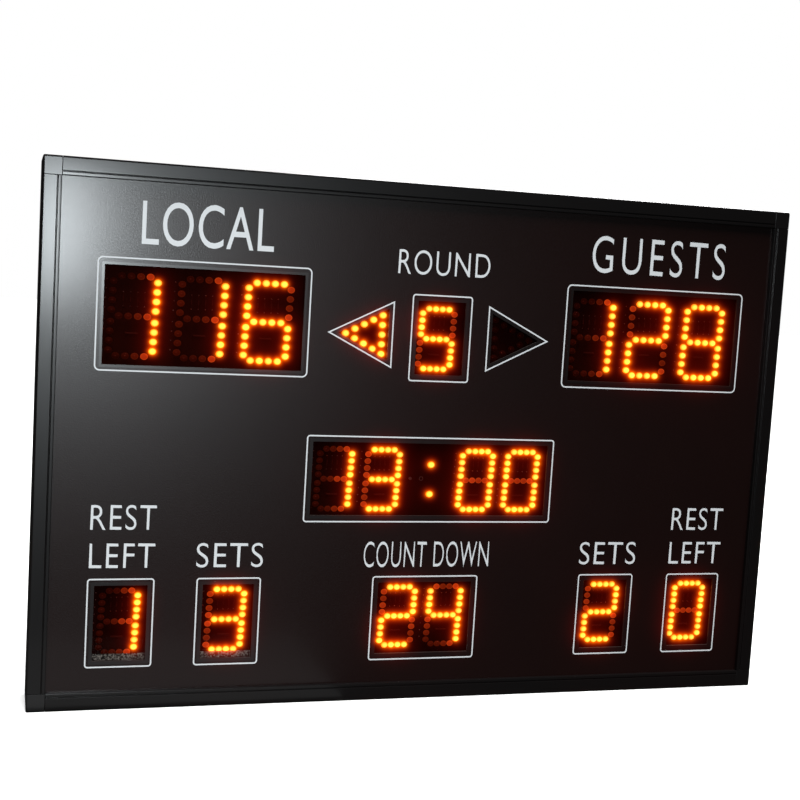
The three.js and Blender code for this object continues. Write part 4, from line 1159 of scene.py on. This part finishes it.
# %% [markdown]
# ## Small parts of the boards
# Small resistors stand in the upper half of each figure and a chip lies in the lower half, and they show
# faintly through the tint. What catches the light are the beads of solder at the ends of the resistors'
# leads and beside the upright rows of lights. The clock's board also shows a screw's bright head and,
# beside it, an empty screw hole's plated rim. Each of these parts is modelled once.

# %% Model the small parts
resistor_radius, resistor_length, resistor_rise = 1.1 * MM, 7 * MM, 1.2 * MM
resistor_lead, lead_inset = 6.8 * MM, 0.75 * MM
chip_reach, chip_softness = Vector((9 * MM, 1.1 * MM, 1.2 * MM)), 0.4 * MM
bead_radius, bead_back_share = 1.1 * MM, 0.1
hole_radius, rim_radius, rim_rise = 2.9 * MM, 0.7 * MM, 0.4 * MM
screw_radius, screw_height, screw_softness = 2.6 * MM, 1.6 * MM, 0.6 * MM
resistor_sides, rim_sides, round_sides = 8, 6, 16


def on_board(rise=0.0):
    """Moves the new object to the board's face or in front of it."""
    piece = bpy.context.object
    apply_place()
    piece.data.transform(Matrix.Translation((0, board_face - rise, 0)))
    return piece


def model_resistor():
    bpy.ops.mesh.primitive_cylinder_add(
        vertices=resistor_sides, radius=resistor_radius, depth=resistor_length,
    )
    resistor = bpy.context.object
    for end in (-1, 1):
        pick(resistor, "FACE", lambda c, n, end=end: n.z * end > facing)
        bpy.ops.mesh.inset(thickness=lead_inset)
        push((0, 0, end * resistor_lead))
    return on_board(resistor_rise)


def model_chip():
    middle = Vector((0, board_face - chip_reach.y, 0))
    chip = add_block("chip", middle - chip_reach, middle + chip_reach)
    soften(chip, chip_softness)
    return chip


def model_bead():
    bpy.ops.mesh.primitive_ico_sphere_add(subdivisions=2, radius=bead_radius)
    bead = bpy.context.object
    squash = (1, bead_back_share, 1)
    edit(bead, "VERT", lambda p: p.y > 0, bpy.ops.transform.resize, value=squash)
    bpy.ops.object.shade_smooth()
    return on_board()


def model_rim():
    bpy.ops.mesh.primitive_torus_add(
        major_radius=hole_radius, minor_radius=rim_radius, major_segments=round_sides,
        minor_segments=rim_sides, rotation=(quarter, 0, 0),
    )
    return on_board(rim_rise)


def model_screw():
    bpy.ops.mesh.primitive_cylinder_add(
        vertices=round_sides, radius=screw_radius, depth=screw_height, rotation=(quarter, 0, 0),
    )
    screw = on_board(screw_height / 2)
    soften(screw, screw_softness)
    return screw


small_parts = [model_resistor(), model_chip(), model_bead(), model_rim(), model_screw()]
resistor_model, chip_model, bead_model, rim_model, screw_model = small_parts
print("small parts", [len(part.data.polygons) for part in small_parts])

# %% [markdown]
# ## Boards of lights
# Behind each tinted sheet is a circuit board on four spacers, with copies of the lights and of the small
# parts. In the two windows at the lower left, a strip of rough tape on the tinted sheet covers the board's
# lower edge.

# %% Put the boards together
board_softness = 0.3 * MM
spacer_width, sheet_gap = 6 * MM, 0.3 * MM
part_rise = 24.6 * MM
resistor_steps = (-1.5, -0.5, 0.5, 1.5)
resistor_pitch_share = 0.75
pad_offset = (-9.1 * MM, 3 * MM)
hole_place, screw_place = (-11 * MM, -1.1 * MM), (-29 * MM, -1.1 * MM)
tape_height, tape_thickness, tape_reach = 9.5 * MM, 0.3 * MM, 0.5 * MM
taped_windows = ("left_timeout", "left_foul")


def make_board(window, contents):
    """contents holds the places, the finish and the model of each kind of piece on the board."""
    low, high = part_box(window.name + "_lights")
    board = add_block(window.name + "_circuit", (low.x, board_face, low.z), high)
    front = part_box(window.name + "_lens")[1].y + sheet_gap
    for x in (low.x, high.x - spacer_width):
        for z in (low.z, high.z - spacer_width):
            far = (x + spacer_width, board_face, z + spacer_width)
            join_to(board, [add_block("post", (x, front, z), far)])
    soften(board, board_softness)
    pieces = [settle(board, board_black, "light_board", window.name + "_lights")]
    lit = contents["lights_on"][0] if "lights_on" in contents else ()
    for label, (places, finish, model) in contents.items():
        if places:
            # Only the lights that are off get a painted glow from the lights that are on.
            painted_glow_from = lit if label == "lights_off" else None
            piece = copies_joined(window.name + "_" + label, model, places, painted_glow_from)
            pieces.append(settle(piece, finish, "light_board"))
    return pieces


def figure_parts(window):
    """The places of the resistors, beads of solder and chips of a window's figures."""
    shares = shares_of[window.kind]
    places, span = figure_places(window, shares)
    level = window.middle.z + window.shift.z
    step = shares["across"] * span * resistor_pitch_share
    start = part_rise * lean
    middles = [middle for digit, middle in places]
    resistors = [(x + start + k * step, level + part_rise) for x in middles for k in resistor_steps]
    chips = [(x - start, level - part_rise) for x in middles]
    reach = resistor_length / 2 + resistor_lead
    beads = [(x, z + end * reach) for x, z in resistors for end in (-1, 1)]
    across, up = pad_offset
    beads += [(x + across, z + up) for digit, bar, x, z in lights_of(window) if bar in "fe"]
    return resistors, beads, chips


def make_tape(window):
    sheet_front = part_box(window.name + "_lens")[0].y
    edge = window.inset + tape_reach
    low = (window.low.x + edge, sheet_front - tape_thickness, window.low.z + edge)
    high = (window.high.x - edge, sheet_front, low[2] + tape_height)
    return settle(add_block(window.name + "_tape", low, high), rough_tape, "plastic_black")


tapes = [make_tape(window) for window in figure_windows if window.name in taped_windows]
boards = []
for window in figure_windows:
    on, off = window_lights(window)
    resistors, beads, chips = figure_parts(window)
    model = light_models[window.kind]
    boards += make_board(window, {
        "lights_on": (on, light_on, model),
        "lights_off": (off, light_off, model),
        "colon": (colon_lights(window), light_on, light_models["large"]),
        "resistors": (resistors, part_dark, resistor_model),
        "solder": (beads, solder_bright, bead_model),
        "chips": (chips, part_dark, chip_model),
        "screw": (clock_place(window, screw_place), solder_bright, screw_model),
        "hole": (clock_place(window, hole_place), solder_bright, rim_model),
    })
for window in arrow_windows:
    label, finish = ("lights_on", light_on) if window.side < 0 else ("lights_off", light_off)
    boards += make_board(window, {label: (arrow_lights(window), finish, light_models["large"])})
for model in (*light_models.values(), *small_parts):
    bpy.data.objects.remove(model)
print("pieces of the boards of lights", len(boards), "and strips of tape", len(tapes))

# %% [markdown]
# ## Pieces that keep their shape
# The other pieces have the right shape in the frame, but a real part has no razor edges. A copy of each is
# merged, its flat faces are joined again, and a small bevel rounds its edges. It then stands for its node.

# %% Round the edges of the other pieces
merge_reach = 0.01 * MM
flat_angle = 1
lead_softness = 0.1 * MM
lead_angle = 60


def softened_copy(name, finish, slot, width, angle=softening_angle):
    source = frame["nodes"][name]
    copy = source.copy()
    copy.data = source.data.copy()
    copy.parent = None
    for key in list(copy.keys()):
        del copy[key]
    scene.collection.objects.link(copy)
    copy.name = name + "_skin"
    pick(copy, "FACE", everything)
    bpy.ops.mesh.remove_doubles(threshold=merge_reach)
    bpy.ops.mesh.dissolve_limited(angle_limit=math.radians(flat_angle))
    soften(copy, width, angle)
    return settle(copy, finish, slot, name, body=node_body[name])


node_body = {node: body for body, nodes in frame["record"]["behaviour"]["bodies"].items() for node in nodes}
softness_of = [
    (steel_black, "rear_black", {"rear_sheet": 0.3, "service_door": 0.3}),
    (steel_galvanised, "galvanised_steel", {
        "lower_cross_rail": 0.5, "upper_cross_rail": 0.5, "left_hanger": 0.5, "right_hanger": 0.5,
        "power_supply": 0.6,
    }),
    (steel_bright, "bright_steel", {
        "door_hinge": 0.2, "door_hinge_pin": 0.2, "lower_latch": 0.4, "upper_latch": 0.4,
    }),
    (mask_green, "circuit_green", {"control_board": 0.3}),
    (plastic_black, "plastic_black", {
        "radio_receiver": 1.5, "period_horn": 0.6, "mains_inlet": 0.4, "fuse_drawer": 0.4,
        "switch_housing": 0.4, "switch_rocker": 0.4,
    }),
    (brass_plated, "brass", {"aerial_socket": 0.3}),
    (plastic_black, "plastic_black", {"aerial_knuckle": 0.3, "aerial_whip": 0.4}),
    (ribbon_grey, "ribbon_grey", {"ribbon_loom": 0.2}),
]
softened = [
    softened_copy(name, finish, slot, width * MM)
    for finish, slot, widths in softness_of
    for name, width in widths.items()
]
softened += [
    softened_copy(name, jacket_black, "lead_black", lead_softness, lead_angle)
    for name in node_body
    if name.endswith("_lead")
]
print("softened pieces", len(softened))

# %% [markdown]
# ## Finishes for what stays
# The tinted sheets are plain slabs and stay as they are in the frame. They only need their finish.

# %% Give the windows their tint
for window in figure_windows + arrow_windows:
    sheet = frame["nodes"][window.name + "_lens"]
    for slot in sheet.material_slots:
        slot.material = red_tint
print("tinted sheets", len(figure_windows + arrow_windows))

# %% [markdown]
# ## The end

# %% Finish
import json
